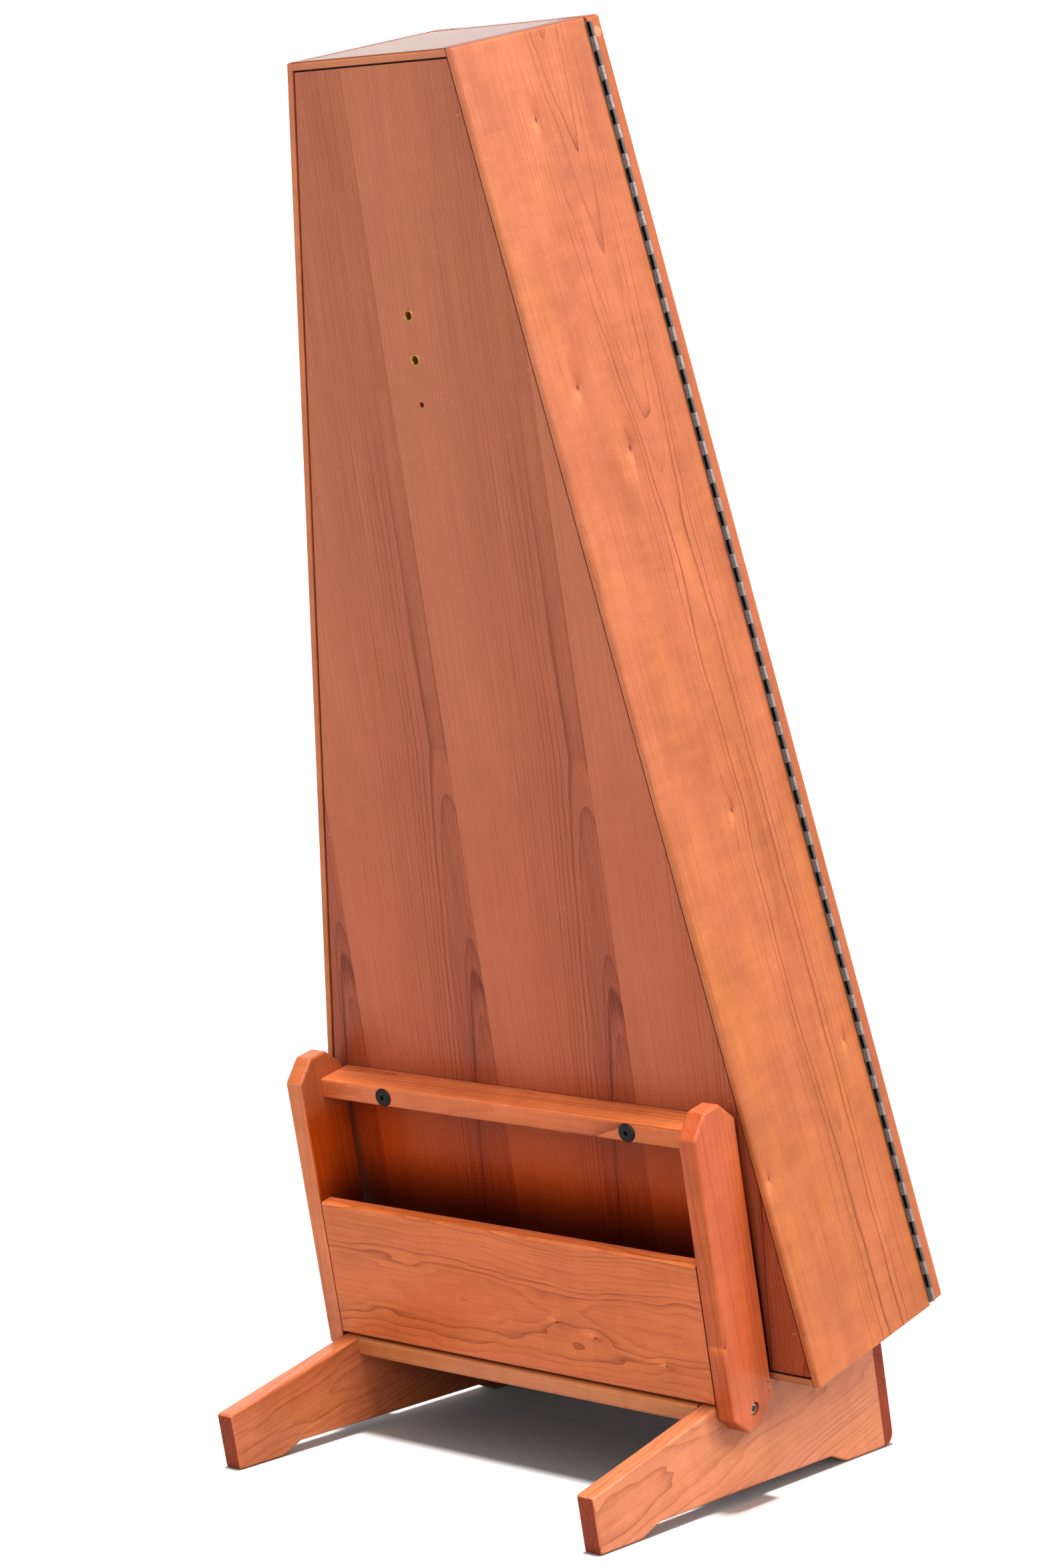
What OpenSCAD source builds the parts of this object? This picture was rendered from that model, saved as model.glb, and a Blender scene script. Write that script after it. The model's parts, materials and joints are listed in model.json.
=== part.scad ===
// Tapered display case on a floor stand, seen as separate boards and hardware.
// Millimetres, +Z up, floor at Z = 0, the door faces -Y and the rear pocket +Y.
// Most boards are drawn in the case's own leaning frame: x across, y from the
// case's back plane outwards, z up along the lean from its bottom back edge.

/* [Case] */
// height of the case along its lean
case_h = 1162.7; // [900:0.1:1400]
// width of the case across its foot
case_w_foot = 560.6; // [400:0.1:700]
// width of the case across its head
case_w_head = 182.6; // [120:0.1:300]
// depth of the case without the door
case_d = 180; // [120:1:240]
// thickness of the case boards
board_t = 16; // [12:0.5:22]
// backward lean from upright, in degrees
lean = 13.05; // [8:0.05:18]
// height of the case's bottom back edge over the floor
base_z = 106.1; // [90:0.1:130]
// thickness of the back panel
panel_t = 6; // [4:0.5:9]
// depth of the back panel's face below the case's back edges
panel_set = 1.2; // [0:0.1:4]
// width of the lip left around the back panel
lip = 7.2; // [5:0.1:10]

/* [Door] */
// thickness of the door frame
door_t = 19.5; // [16:0.5:24]
// gap between the case's front edge and the door
door_gap = 2.5; // [2.5:0.1:4]
// width of the door's stiles and rails
door_m = 32; // [26:1:50]
// thickness of the glass
glass_t = 3; // [2:0.5:5]

/* [Hinge] */
// outside diameter of the hinge barrel
barrel_d = 2.9; // [2.4:0.1:7]
// distance of the hinge pin's middle outside the case's side
hinge_out = 3.6; // [2:0.1:6]
// length of one knuckle with its gap
knuckle = 12.7; // [10:0.1:25.4]
// number of knuckles, counting both leaves
knuckles = 92; // [40:2:110]

/* [Stand] */
// thickness of the foot boards
foot_t = 18.4; // [16:0.1:25]
// outer face of each foot from the middle
foot_x = 214.7; // [180:0.1:240]
// reach of the foot behind the case, along its top edge
foot_back = 241.5; // [180:0.5:280]
// thickness of the front apron and pocket boards
trim_t = 16; // [12:0.5:20]
// thickness of the uprights and the top rail
upright_t = 19; // [16:0.5:25]
// height of the pocket board's top edge
pocket_h = 133.5; // [90:0.5:180]

/* [Hidden] */
$fn = 32;
taper = atan((case_w_foot - case_w_head) / 2 / case_h);
door_w = -case_d - door_gap;
door_front = door_w - door_t;
door_foot = 1.3;
barrel_r = barrel_d / 2;
pin_r = 0.75;
leaf_t = 1.05;
leaf_w = 13;
axis_w = -case_d - door_gap / 2;
slant = case_h / cos(taper);
hinge_s = (slant - knuckle * knuckles) / 2;
apron_w = -172.5;
apron_top = -3;
upright_w0 = 6.4;
upright_w1 = 65.5;
pocket_w0 = upright_w1 - trim_t;
rail_v = 236;
rail_w1 = 38.5;
bead_in = door_m - 8;
block_t = 19;
panel_w = -panel_set - panel_t;
insert_v = [944.5, 906.4];
bolt_u = 139.5;
catch_v = [330, 830];
plug_v = case_h - 14.1;
// the box around everything is centred on the origin
mid_x = 2.1;
mid_y = -23.66;

// half-width of the case's outside at height v along the lean
function half_w(v) = case_w_foot / 2 - v * tan(taper);
// height along the lean at which depth w meets the floor
function floor_v(w) = (w * sin(lean) - base_z) / cos(lean);
// depth and height in the case's frame, turned into the upright frame
function up_y(w, v) = v * sin(lean) + w * cos(lean);
function up_z(w, v) = base_z + v * cos(lean) - w * sin(lean);
function unit(p) = p / norm(p);
// the corner p between a and b, rounded to radius r with n chords
function corner(a, p, b, r, n) = r <= 0 ? [p] :
    let (u = unit(a - p), v = unit(b - p), h = acos(u * v) / 2,
         c = p + unit(u + v) * r / sin(h),
         s = p + u * r / tan(h) - c, e = p + v * r / tan(h) - c,
         g = atan2(s[1], s[0]), d = (atan2(e[1], e[0]) - g + 540) % 360 - 180)
    [for (i = [0 : n]) c + r * [cos(g + d * i / n), sin(g + d * i / n)]];
function rounded(p, r, n = 5) =
    [for (i = [0 : len(p) - 1])
        each corner(p[(i + len(p) - 1) % len(p)], p[i], p[(i + 1) % len(p)], r[i], n)];
// trapezium between heights a and b, in from the case's slanted sides by inset
function trap(a, b, inset) =
    let (k = inset / cos(taper))
    [[-half_w(a) + k, a], [half_w(a) - k, a], [half_w(b) - k, b], [-half_w(b) + k, b]];

// the case's leaning frame
module leaning() {
    translate([mid_x, mid_y, base_z])
        rotate([-lean, 0, 0])
            children();
}

// the upright frame the feet are cut in
module standing() {
    translate([mid_x, mid_y, 0])
        children();
}

// the left slanted side's frame: x inwards, y as before, z up the slant
module sided() {
    translate([-case_w_foot / 2, 0, 0])
        rotate([0, taper, 0])
            children();
}

module both() {
    children();
    mirror([1, 0, 0])
        children();
}

// outline in x and z, from depth w0 to depth w1
module slab(p, w0, w1) {
    translate([0, w1, 0])
        rotate([90, 0, 0])
            linear_extrude(height = w1 - w0)
                polygon(p);
}

// section in y and z, from x0 to x1
module bar(p, x0, x1) {
    translate([x0, 0, 0])
        rotate([90, 0, 90])
            linear_extrude(height = x1 - x0)
                polygon(p);
}

// round rod along y
module rod_y(x, z, w0, w1, r) {
    translate([x, w1, z])
        rotate([90, 0, 0])
            cylinder(h = w1 - w0, r = r);
}

// round rod along x
module rod_x(w, v, x0, x1, r) {
    translate([x0, w, v])
        rotate([0, 90, 0])
            cylinder(h = x1 - x0, r = r);
}

module hex(r, h) {
    cylinder(h = h, r = r, $fn = 6);
}

// ---- case ----

module dowel_set_case() {
    for (w = [-150, -95, -40])
        for (v = [board_t / 2, case_h - board_t / 2])
            both()
                rod_x(w, v, half_w(v) - 48, half_w(v) - 7, 3);
}

module rail_bolt_holes(r) {
    for (u = [-bolt_u, bolt_u])
        rod_y(u, rail_v, panel_w - block_t - 2, rail_w1 + 1, r);
}

module hinge_screw_set(y0, side) {
    for (i = [0 : 11])
        translate([7.5, y0, slant * (i + 0.5) / 12])
            rotate([side * 90, 0, 0]) {
                cylinder(h = leaf_t, r1 = 3, r2 = 1.6);
                cylinder(h = 11, r = 1.6);
            }
}

module case_side() {
    difference() {
        intersection() {
            sided()
                translate([0, 0, -40])
                    linear_extrude(height = slant + 80)
                        polygon(rounded([[0, -case_d], [board_t, -case_d],
                            [board_t, panel_w], [lip, panel_w], [lip, 0], [0, 0]],
                            [3, 0.6, 0, 0, 0.8, 3]));
            slab([[-400, 0], [400, 0], [400, case_h], [-400, case_h]], -case_d - 1, 1);
        }
        dowel_set_case();
    }
}

module case_side_left() {
    color([0.83, 0.55, 0.40])
        leaning()
            case_side();
}

module case_side_right() {
    color([0.83, 0.55, 0.40])
        leaning()
            difference() {
                mirror([1, 0, 0])
                    case_side();
                magnet_shape();
            }
}

// the space between the side boards, and between their lips at the back
module between_sides(a, b) {
    slab(trap(a, b, board_t), -case_d - 1, 1);
    slab(trap(a, b, lip), panel_w, 1);
}

module case_top() {
    color([0.84, 0.58, 0.43])
        leaning()
            difference() {
                intersection() {
                    bar(rounded([[-case_d, case_h - board_t], [panel_w, case_h - board_t],
                        [panel_w, case_h - lip], [0, case_h - lip], [0, case_h], [-case_d, case_h]],
                        [0.6, 0, 0, 0.8, 3, 3]), -200, 200);
                    between_sides(case_h - 40, case_h + 10);
                }
                dowel_set_case();
            }
}

module case_bottom() {
    color([0.80, 0.53, 0.39])
        leaning()
            difference() {
                intersection() {
                    bar(rounded([[-case_d, 0], [0, 0], [0, lip], [panel_w, lip],
                        [panel_w, board_t], [-case_d, board_t]],
                        [2, 2, 0.8, 0, 0, 0.6]), -400, 400);
                    between_sides(-10, 40);
                }
                dowel_set_case();
            }
}

module case_dowels() {
    color([0.86, 0.74, 0.55])
        leaning()
            dowel_set_case();
}

module insert_holes(r, w0, w1) {
    for (v = insert_v)
        rod_y(0, v, w0, w1, r);
}

module back_panel() {
    color([0.71, 0.42, 0.32])
        leaning()
            difference() {
                slab(trap(lip + 1.3, case_h - lip - 1.3, lip + 1.5), panel_w, -panel_set);
                insert_holes(5.5, -panel_set - 1.2, 0);
                insert_holes(4.75, panel_w - 1, 0);
                rod_y(0, 867.9, panel_w - 1, 0, 2.25);
                rail_bolt_holes(3.2);
            }
}

module panel_brads() {
    color([0.52, 0.30, 0.22])
        leaning()
            for (i = [0 : 5])
                both()
                    rod_y(half_w(48 + 212 * i) - 13.5, 48 + 212 * i, -19, -panel_set, 1.4);
}

module hanger_block() {
    color([0.84, 0.68, 0.48])
        leaning()
            difference() {
                slab(rounded([[-38, 842], [38, 842], [38, 972], [-38, 972]], [4, 4, 4, 4]),
                    panel_w - block_t, panel_w);
                insert_holes(4.75, panel_w - 12, 0);
                rod_y(0, 867.9, panel_w - 12, 0, 2.25);
            }
}

module threaded_inserts() {
    color([0.80, 0.62, 0.30])
        leaning()
            for (v = insert_v)
                translate([0, -panel_set, v])
                    rotate([90, 0, 0])
                        difference() {
                            union() {
                                cylinder(h = 1.2, r = 5.5);
                                cylinder(h = 13, r = 4.75);
                            }
                            translate([0, 0, -1])
                                cylinder(h = 15, r = 3.175);
                        }
}

module stand_cleat() {
    color([0.84, 0.68, 0.48])
        leaning()
            difference() {
                slab([[-185, rail_v - 22], [185, rail_v - 22], [185, rail_v + 22],
                    [-185, rail_v + 22]], panel_w - block_t, panel_w);
                rail_bolt_holes(4.5);
            }
}

module cleat_inserts() {
    color([0.78, 0.60, 0.30])
        leaning()
            for (u = [-bolt_u, bolt_u])
                difference() {
                    rod_y(u, rail_v, panel_w - 14, panel_w, 4.5);
                    rod_y(u, rail_v, panel_w - 15, panel_w + 1, 3);
                }
}

module magnet_shape() {
    for (v = catch_v)
        rod_y(half_w(v) - 8.3, v, -case_d - 1.6, -case_d + 5, 5);
}

module catch_magnets() {
    color([0.62, 0.63, 0.65])
        leaning()
            magnet_shape();
}

module door_bumpers() {
    color([0.30, 0.30, 0.31])
        leaning()
            for (v = [42, 1120])
                rod_y(half_w(v) - 8.3, v, -case_d - door_gap + 0.35, -case_d, 4);
}

// ---- hinge ----

// first: 0 for the case leaf and 1 for the door leaf; face: side of the pin's plane it lies on
module leaf(first, face, bore) {
    edge = 0.35;
    y0 = face > 0 ? 0.2 : -0.2 - leaf_t;
    difference() {
        union() {
            translate([edge, y0, hinge_s])
                cube([leaf_w - edge, leaf_t, knuckle * knuckles]);
            for (i = [first : 2 : knuckles - 1])
                translate([0, 0, hinge_s + i * knuckle + 0.15]) {
                    translate([-hinge_out, 0, 0])
                        cylinder(h = knuckle - 0.3, r = barrel_r, $fn = 16);
                    translate([-hinge_out, y0, 0])
                        cube([hinge_out + edge + 0.5, leaf_t, knuckle - 0.3]);
                }
        }
        translate([-hinge_out, 0, 0])
            cylinder(h = slant, r = bore, $fn = 16);
        translate([0, -axis_w, 0])
            children();
    }
}

module hinge_leaf_case() {
    color([0.60, 0.60, 0.60])
        leaning()
            sided()
                translate([0, axis_w, 0])
                    leaf(0, 1, pin_r)
                        hinge_screw_set(axis_w + 0.2, -1);
}

module hinge_leaf_door() {
    color([0.60, 0.60, 0.60])
        leaning()
            sided()
                translate([0, axis_w, 0])
                    leaf(1, -1, pin_r + 0.06)
                        hinge_screw_set(axis_w - 0.2, 1);
}

module hinge_pin() {
    color([0.66, 0.66, 0.67])
        leaning()
            sided()
                translate([-hinge_out, axis_w, hinge_s - 0.6])
                    cylinder(h = knuckle * knuckles + 1.2, r = pin_r, $fn = 24);
}

module hinge_screws_case() {
    color([0.56, 0.56, 0.57])
        leaning()
            sided()
                hinge_screw_set(axis_w + 0.2, -1);
}

module hinge_screws_door() {
    color([0.56, 0.56, 0.57])
        leaning()
            sided()
                hinge_screw_set(axis_w - 0.2, 1);
}

// ---- stand ----

module bolt_line(x0, x1, r) {
    both()
        rod_x(34.8, -10.8, x0, x1, r);
}

module dowel_set_foot() {
    both() {
        for (w = [-120, -30])
            rod_x(w, -9, foot_x - foot_t - 24, foot_x - 6, 4);
        for (v = [-32, -104])
            rod_y(foot_x - foot_t / 2, v, apron_w - 9, apron_w + 30, 4);
    }
}

module foot() {
    difference() {
        standing()
            bar(rounded([
                [up_y(foot_back, 0), up_z(foot_back, 0)],
                [up_y(apron_w, 0), up_z(apron_w, 0)],
                [up_y(apron_w, floor_v(apron_w)), 0],
                [-140, 0], [-116, 9.5], [142, 9.5], [166, 0],
                [up_y(foot_back, floor_v(foot_back)), 0]],
                [3, 0, 0, 14, 14, 14, 14, 2.5]), foot_x - foot_t, foot_x);
        leaning() {
            dowel_set_foot();
            bolt_line(foot_x - 13, foot_x + 1, 4.5);
        }
    }
}

module foot_right() {
    color([0.80, 0.53, 0.39])
        foot();
}

module foot_left() {
    color([0.80, 0.53, 0.39])
        translate([2 * mid_x, 0, 0])
            mirror([1, 0, 0])
                foot();
}

module apron_board() {
    v0 = floor_v(apron_w);
    v1 = floor_v(apron_w - trim_t);
    color([0.80, 0.53, 0.39])
        difference() {
            leaning()
                bar(rounded([[apron_w, apron_top], [apron_w, v0],
                    [apron_w - trim_t, v1], [apron_w - trim_t, apron_top]],
                    [0, 0, 11, 3], 6), -foot_x, foot_x);
            standing()
                slab(rounded([[-150, -10], [150, -10], [126, 9.5], [-126, 9.5]],
                    [0, 0, 14, 14]), -260, -150);
            leaning()
                dowel_set_foot();
        }
}

module shelf_board() {
    color([0.78, 0.50, 0.37])
        leaning()
            difference() {
                bar(rounded([[apron_w, -18], [67, -18], [67, 0], [apron_w, 0]],
                    [0, 2.5, 2.5, 0]), foot_t - foot_x, foot_x - foot_t);
                dowel_set_foot();
            }
}

module foot_dowels() {
    color([0.86, 0.74, 0.55])
        leaning()
            dowel_set_foot();
}

module dowel_set_pocket() {
    both()
        for (v = [36, 100])
            rod_x((pocket_w0 + upright_w1) / 2, v, foot_x - 26, foot_x + 11, 4);
}

module dowel_set_rail() {
    both()
        for (w = [14, 28])
            rod_x(w, rail_v, foot_x - 28, foot_x + 11, 4);
}

module upright() {
    c = 19;
    difference() {
        bar(rounded([
            [upright_w0 + c, -29], [upright_w1 - c, -29],
            [upright_w1, -29 + c], [upright_w1, 268.5 - c],
            [upright_w1 - c, 268.5], [upright_w0 + c, 268.5],
            [upright_w0, 268.5 - c], [upright_w0, -29 + c]],
            [3, 3, 3, 3, 3, 3, 3, 3]), foot_x, foot_x + upright_t);
        bolt_line(foot_x - 1, foot_x + upright_t + 1, 3.2);
        bolt_line(foot_x + upright_t - 8, foot_x + upright_t + 1, 6);
        dowel_set_pocket();
        dowel_set_rail();
    }
}

module upright_right() {
    color([0.80, 0.53, 0.39])
        leaning()
            upright();
}

module upright_left() {
    color([0.80, 0.53, 0.39])
        leaning()
            mirror([1, 0, 0])
                upright();
}

module upright_bolts() {
    color([0.16, 0.16, 0.17])
        leaning()
            both()
                difference() {
                    union() {
                        rod_x(34.8, -10.8, foot_x + upright_t - 8, foot_x + upright_t - 2, 5);
                        rod_x(34.8, -10.8, foot_x - 13, foot_x + upright_t - 8, 3);
                    }
                    translate([foot_x + upright_t - 5, 34.8, -10.8])
                        rotate([0, 90, 0])
                            hex(2.9, 5);
                }
}

module foot_inserts() {
    color([0.78, 0.60, 0.30])
        leaning()
            difference() {
                bolt_line(foot_x - 13, foot_x, 4.5);
                bolt_line(foot_x - 14, foot_x + 1, 3);
            }
}

module upright_brads() {
    color([0.30, 0.24, 0.20])
        leaning()
            both() {
                rod_x(11.8, -4, foot_x - 12, foot_x + upright_t, 0.9);
                rod_x(11.8, 4.4, foot_x + 4, foot_x + upright_t, 0.9);
            }
}

module pocket_board() {
    color([0.80, 0.53, 0.39])
        leaning()
            difference() {
                bar(rounded([[pocket_w0, 3], [upright_w1 - 0.5, 3],
                    [upright_w1 - 0.5, pocket_h], [pocket_w0, pocket_h]],
                    [2, 2, 3, 3]), -foot_x, foot_x);
                dowel_set_pocket();
            }
}

module pocket_dowels() {
    color([0.86, 0.74, 0.55])
        leaning()
            dowel_set_pocket();
}

module top_rail() {
    color([0.80, 0.53, 0.39])
        leaning()
            difference() {
                bar(rounded([[-panel_set, rail_v - 9.5], [rail_w1, rail_v - 9.5],
                    [rail_w1, rail_v + 9.5], [-panel_set, rail_v + 9.5]],
                    [1.5, 3, 3, 1.5]), -foot_x, foot_x);
                dowel_set_rail();
                rail_bolt_holes(3.2);
            }
}

module rail_dowels() {
    color([0.86, 0.74, 0.55])
        leaning()
            dowel_set_rail();
}

module rail_bolts() {
    color([0.10, 0.10, 0.11])
        leaning()
            for (u = [-bolt_u, bolt_u])
                translate([u, rail_w1, rail_v])
                    rotate([-90, 0, 0])
                        difference() {
                            union() {
                                rotate_extrude()
                                    polygon([[0, 0], [8.5, 0], [8.5, 1], [7.6, 2.2], [0, 2.2]]);
                                translate([0, 0, -rail_w1 + panel_w - 14])
                                    cylinder(h = rail_w1 - panel_w + 14.5, r = 3);
                            }
                            translate([0, 0, -1.5])
                                hex(2.4, 5);
                        }
}

// ---- door ----

// the upper dowels run right through the stiles, the lower ones are blind
module dowel_set_door() {
    mid_w = (door_w + door_front) / 2;
    both() {
        rod_x(mid_w, plug_v, -half_w(plug_v) - 5, -half_w(plug_v) + 64, 4.75);
        sided()
            rod_x(mid_w, 23.4, 14, 60, 4.75);
    }
}

// the rebate the glass and its beads sit in
module rebate() {
    slab(trap(door_foot + bead_in, case_h - bead_in, bead_in), door_front + 10, door_w + 1);
}

module strike_shape() {
    for (v = catch_v)
        rod_y(half_w(v) - 10, v, door_w - 1.5, door_w, 6.5);
}

module stile() {
    difference() {
        intersection() {
            sided()
                translate([0, 0, -40])
                    linear_extrude(height = slant + 80)
                        polygon(rounded([[0, door_front], [door_m, door_front],
                            [door_m, door_w], [0, door_w]], [4.5, 2.5, 0.6, 1.2]));
            slab([[-400, door_foot], [400, door_foot], [400, case_h], [-400, case_h]],
                door_front - 1, door_w + 1);
        }
        rebate();
        dowel_set_door();
    }
}

module door_stile_left() {
    color([0.79, 0.51, 0.37])
        leaning()
            stile();
}

module door_stile_right() {
    color([0.79, 0.51, 0.37])
        leaning()
            difference() {
                mirror([1, 0, 0])
                    stile();
                strike_shape();
                rod_y(half_w(560) - 16, 560, door_front - 1, door_w + 1, 2.2);
                rod_y(half_w(560) - 16, 560, door_w - 3, door_w + 1, 4.5);
            }
}

module door_rail(v0, v1, r0, r1) {
    difference() {
        intersection() {
            bar(rounded([[door_front, v0], [door_w, v0], [door_w, v1], [door_front, v1]],
                [r0, 0.8, 0.8, r1]), -400, 400);
            slab(trap(v0 - 5, v1 + 5, door_m), door_front - 1, door_w + 1);
        }
        rebate();
        dowel_set_door();
    }
}

module door_rail_top() {
    color([0.79, 0.51, 0.37])
        leaning()
            door_rail(case_h - door_m, case_h, 2.5, 4.5);
}

module door_rail_bottom() {
    color([0.79, 0.51, 0.37])
        leaning()
            door_rail(door_foot, door_foot + door_m, 4.5, 2.5);
}

module door_dowels() {
    color([0.88, 0.74, 0.54])
        leaning()
            intersection() {
                dowel_set_door();
                slab(trap(0, case_h, 0), door_front, door_w);
            }
}

module door_pane() {
    g = door_m - 7.5;
    color([0.80, 0.86, 0.85, 0.35])
        leaning()
            slab(trap(door_foot + g, case_h - g, g), door_front + 10, door_front + 10 + glass_t);
}

module bead(p) {
    color([0.76, 0.48, 0.35])
        leaning()
            slab(p, door_front + 10 + glass_t, door_w - 1);
}

// outline of a side bead, from the bottom bead to the top one
function bead_outline(s) =
    let (a = door_foot + door_m, b = case_h - door_m, k = bead_in / cos(taper), m = door_m / cos(taper))
    [[s * (half_w(a) - k), a], [s * (half_w(a) - m), a],
     [s * (half_w(b) - m), b], [s * (half_w(b) - k), b]];

module bead_left() {
    bead(bead_outline(-1));
}

module bead_right() {
    bead(bead_outline(1));
}

module bead_top() {
    bead(trap(case_h - door_m, case_h - bead_in, bead_in));
}

module bead_bottom() {
    bead(trap(door_foot + bead_in, door_foot + door_m, bead_in));
}

module door_knob() {
    color([0.76, 0.58, 0.28])
        leaning()
            translate([half_w(560) - 16, door_front, 560])
                rotate([90, 0, 0])
                    difference() {
                        rotate_extrude()
                            polygon([[0, 0], [8, 0], [8, 1.6], [4.5, 3.4], [4, 9], [6.5, 12],
                                [9.4, 15], [10, 17.5], [9.2, 20], [6.2, 22.4], [0, 23.2]]);
                        translate([0, 0, -1])
                            cylinder(h = 13, r = 2);
                    }
}

module knob_screw() {
    color([0.60, 0.60, 0.61])
        leaning() {
            rod_y(half_w(560) - 16, 560, door_front - 12, door_w - 3, 2);
            rod_y(half_w(560) - 16, 560, door_w - 3, door_w - 0.6, 4);
        }
}

module strike_plates() {
    color([0.64, 0.65, 0.66])
        leaning()
            strike_shape();
}

case_side_left();
case_side_right();
case_top();
case_bottom();
case_dowels();
back_panel();
panel_brads();
hanger_block();
threaded_inserts();
stand_cleat();
cleat_inserts();
catch_magnets();
door_bumpers();
hinge_leaf_case();
hinge_pin();
hinge_screws_case();
foot_left();
foot_right();
apron_board();
shelf_board();
foot_dowels();
upright_left();
upright_right();
upright_bolts();
foot_inserts();
upright_brads();
pocket_board();
pocket_dowels();
top_rail();
rail_dowels();
rail_bolts();
door_stile_left();
door_stile_right();
door_rail_top();
door_rail_bottom();
door_dowels();
door_pane();
bead_left();
bead_right();
bead_top();
bead_bottom();
door_knob();
knob_screw();
strike_plates();
hinge_leaf_door();
hinge_screws_door();
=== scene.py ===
import json
import math

import bmesh
import bpy
from mathutils import Matrix, Vector

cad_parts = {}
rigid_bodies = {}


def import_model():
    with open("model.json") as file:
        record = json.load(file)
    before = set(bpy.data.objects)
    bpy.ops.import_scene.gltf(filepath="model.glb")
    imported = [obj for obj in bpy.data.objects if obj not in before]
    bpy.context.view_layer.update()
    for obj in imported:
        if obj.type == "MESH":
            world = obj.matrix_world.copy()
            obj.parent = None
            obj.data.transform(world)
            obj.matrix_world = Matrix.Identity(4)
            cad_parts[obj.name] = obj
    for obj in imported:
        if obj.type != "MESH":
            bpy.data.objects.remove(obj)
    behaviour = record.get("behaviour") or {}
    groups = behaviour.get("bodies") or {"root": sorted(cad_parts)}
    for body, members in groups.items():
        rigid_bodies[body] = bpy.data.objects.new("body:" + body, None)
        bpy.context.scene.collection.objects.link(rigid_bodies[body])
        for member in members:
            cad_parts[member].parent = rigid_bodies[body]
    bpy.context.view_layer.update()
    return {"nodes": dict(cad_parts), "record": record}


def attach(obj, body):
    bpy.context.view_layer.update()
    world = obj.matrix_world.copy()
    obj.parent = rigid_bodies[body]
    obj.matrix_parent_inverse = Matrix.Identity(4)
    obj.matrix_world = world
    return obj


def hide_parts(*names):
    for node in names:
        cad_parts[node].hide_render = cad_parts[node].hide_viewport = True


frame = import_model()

scene = bpy.context.scene
MM = 0.001
ROOT = "case_and_stand"
DOOR = "door"

# ---- the object's own frames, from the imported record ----

mounts = {m["name"]: m for m in frame["record"]["mounts"]}
upper_insert = Vector(mounts["back_insert_upper"]["pos_m"])
lower_insert = Vector(mounts["back_insert_lower"]["pos_m"])
OUT = Vector(mounts["back_insert_upper"]["axis"])      # out of the case's back
UP = (upper_insert - lower_insert).normalized()        # up along the case's lean
ACROSS = OUT.cross(UP)                                 # along the case's width
PANEL_SET = 1.2
INSERTS = (944.5, 906.4)
# the bottom back edge at mid-width
EDGE = upper_insert + (PANEL_SET * OUT - INSERTS[0] * UP) * MM


def axes(x, y, z, origin):
    """The matrix of a frame with these axes and origin."""
    m = Matrix((x, y, z)).transposed().to_4x4()
    m.translation = origin
    return m


# In this frame a point is (across, out of the back, up the lean), in millimetres.
CASE = axes(ACROSS, OUT, UP, EDGE) @ Matrix.Scale(MM, 4)
STAND = Matrix.Translation((EDGE.x, EDGE.y, 0)) @ Matrix.Scale(MM, 4)
LEAN = math.atan2(UP.y, UP.z)
BASE_Z = EDGE.z / MM

# ---- driving dimensions in millimetres, as the CAD has them ----

CASE_H = 1162.7
FOOT_HALF = 280.3
HEAD_HALF = 91.3
CASE_D = 180
BOARD = 16
LIP = 7.2
PANEL_BACK = -PANEL_SET
PANEL_FRONT = -7.2
BLOCK_FRONT = -26.2
TAPER = math.atan((FOOT_HALF - HEAD_HALF) / CASE_H)
DOOR_BACK = -182.5
DOOR_FRONT = -202
DOOR_FOOT = 1.3
MEMBER = 32
REBATE = 24
PANE_FRONT = -192
PANE_BACK = -189
BARREL_R = 1.45
HINGE_OUT = 3.6
HINGE_W = -181.25
KNUCKLE = 12.7
KNUCKLES = 92
FOOT_X = 214.7
FOOT_T = 18.4
FOOT_BACK = 241.5
APRON_W = -172.5
UPRIGHT_T = 19
UPRIGHT_W = (6.4, 65.5)
UPRIGHT_V = (-29, 268.5)
RAIL_V = 236
RAIL_BACK = 38.5
BOLT_X = 139.5
UPRIGHT_BOLT = (34.8, -10.8)
BOLT_SEAT = 8
PLAIN_HOLE_V = 867.9
CATCH_IN = 8.3
KNOB_V = 560
CATCHES = (330, 830)


# directions in the case's frame
RIGHT, BACK, FRONT, TOP = (1, 0, 0), (0, 1, 0), (0, -1, 0), (0, 0, 1)


def half_w(v):
    """Half of the case's outside width at height v."""
    return FOOT_HALF - v * math.tan(TAPER)


def floor_v(w):
    """Height along the lean at which depth w meets the floor."""
    return (w * math.sin(LEAN) - BASE_Z) / math.cos(LEAN)


def standing(w, v):
    """(y, z) of a point of the case's frame, in the stand's upright frame."""
    return (v * math.sin(LEAN) + w * math.cos(LEAN),
            BASE_Z + v * math.cos(LEAN) - w * math.sin(LEAN))


# ---- mesh helpers ----

def linked(name, data):
    """A new object in the scene."""
    obj = bpy.data.objects.new(name, data)
    scene.collection.objects.link(obj)
    return obj


def mesh_object(bm, matrix=Matrix()):
    """A new object from bm, which is in the frame that matrix places."""
    bmesh.ops.recalc_face_normals(bm, faces=bm.faces)
    mesh = bpy.data.meshes.new("part")
    bm.to_mesh(mesh)
    bm.free()
    mesh.transform(matrix)
    return linked("part", mesh)


def settle(obj, frame_matrix):
    """Gives obj that frame as its own axes, without moving its mesh."""
    obj.data.transform(frame_matrix.inverted() @ obj.matrix_world)
    obj.matrix_world = frame_matrix


def apply_modifiers(obj):
    """Turns obj's modifiers into mesh."""
    bpy.context.view_layer.update()
    result = bpy.data.meshes.new_from_object(
        obj.evaluated_get(bpy.context.evaluated_depsgraph_get()))
    obj.modifiers.clear()
    obj.data = result


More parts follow.
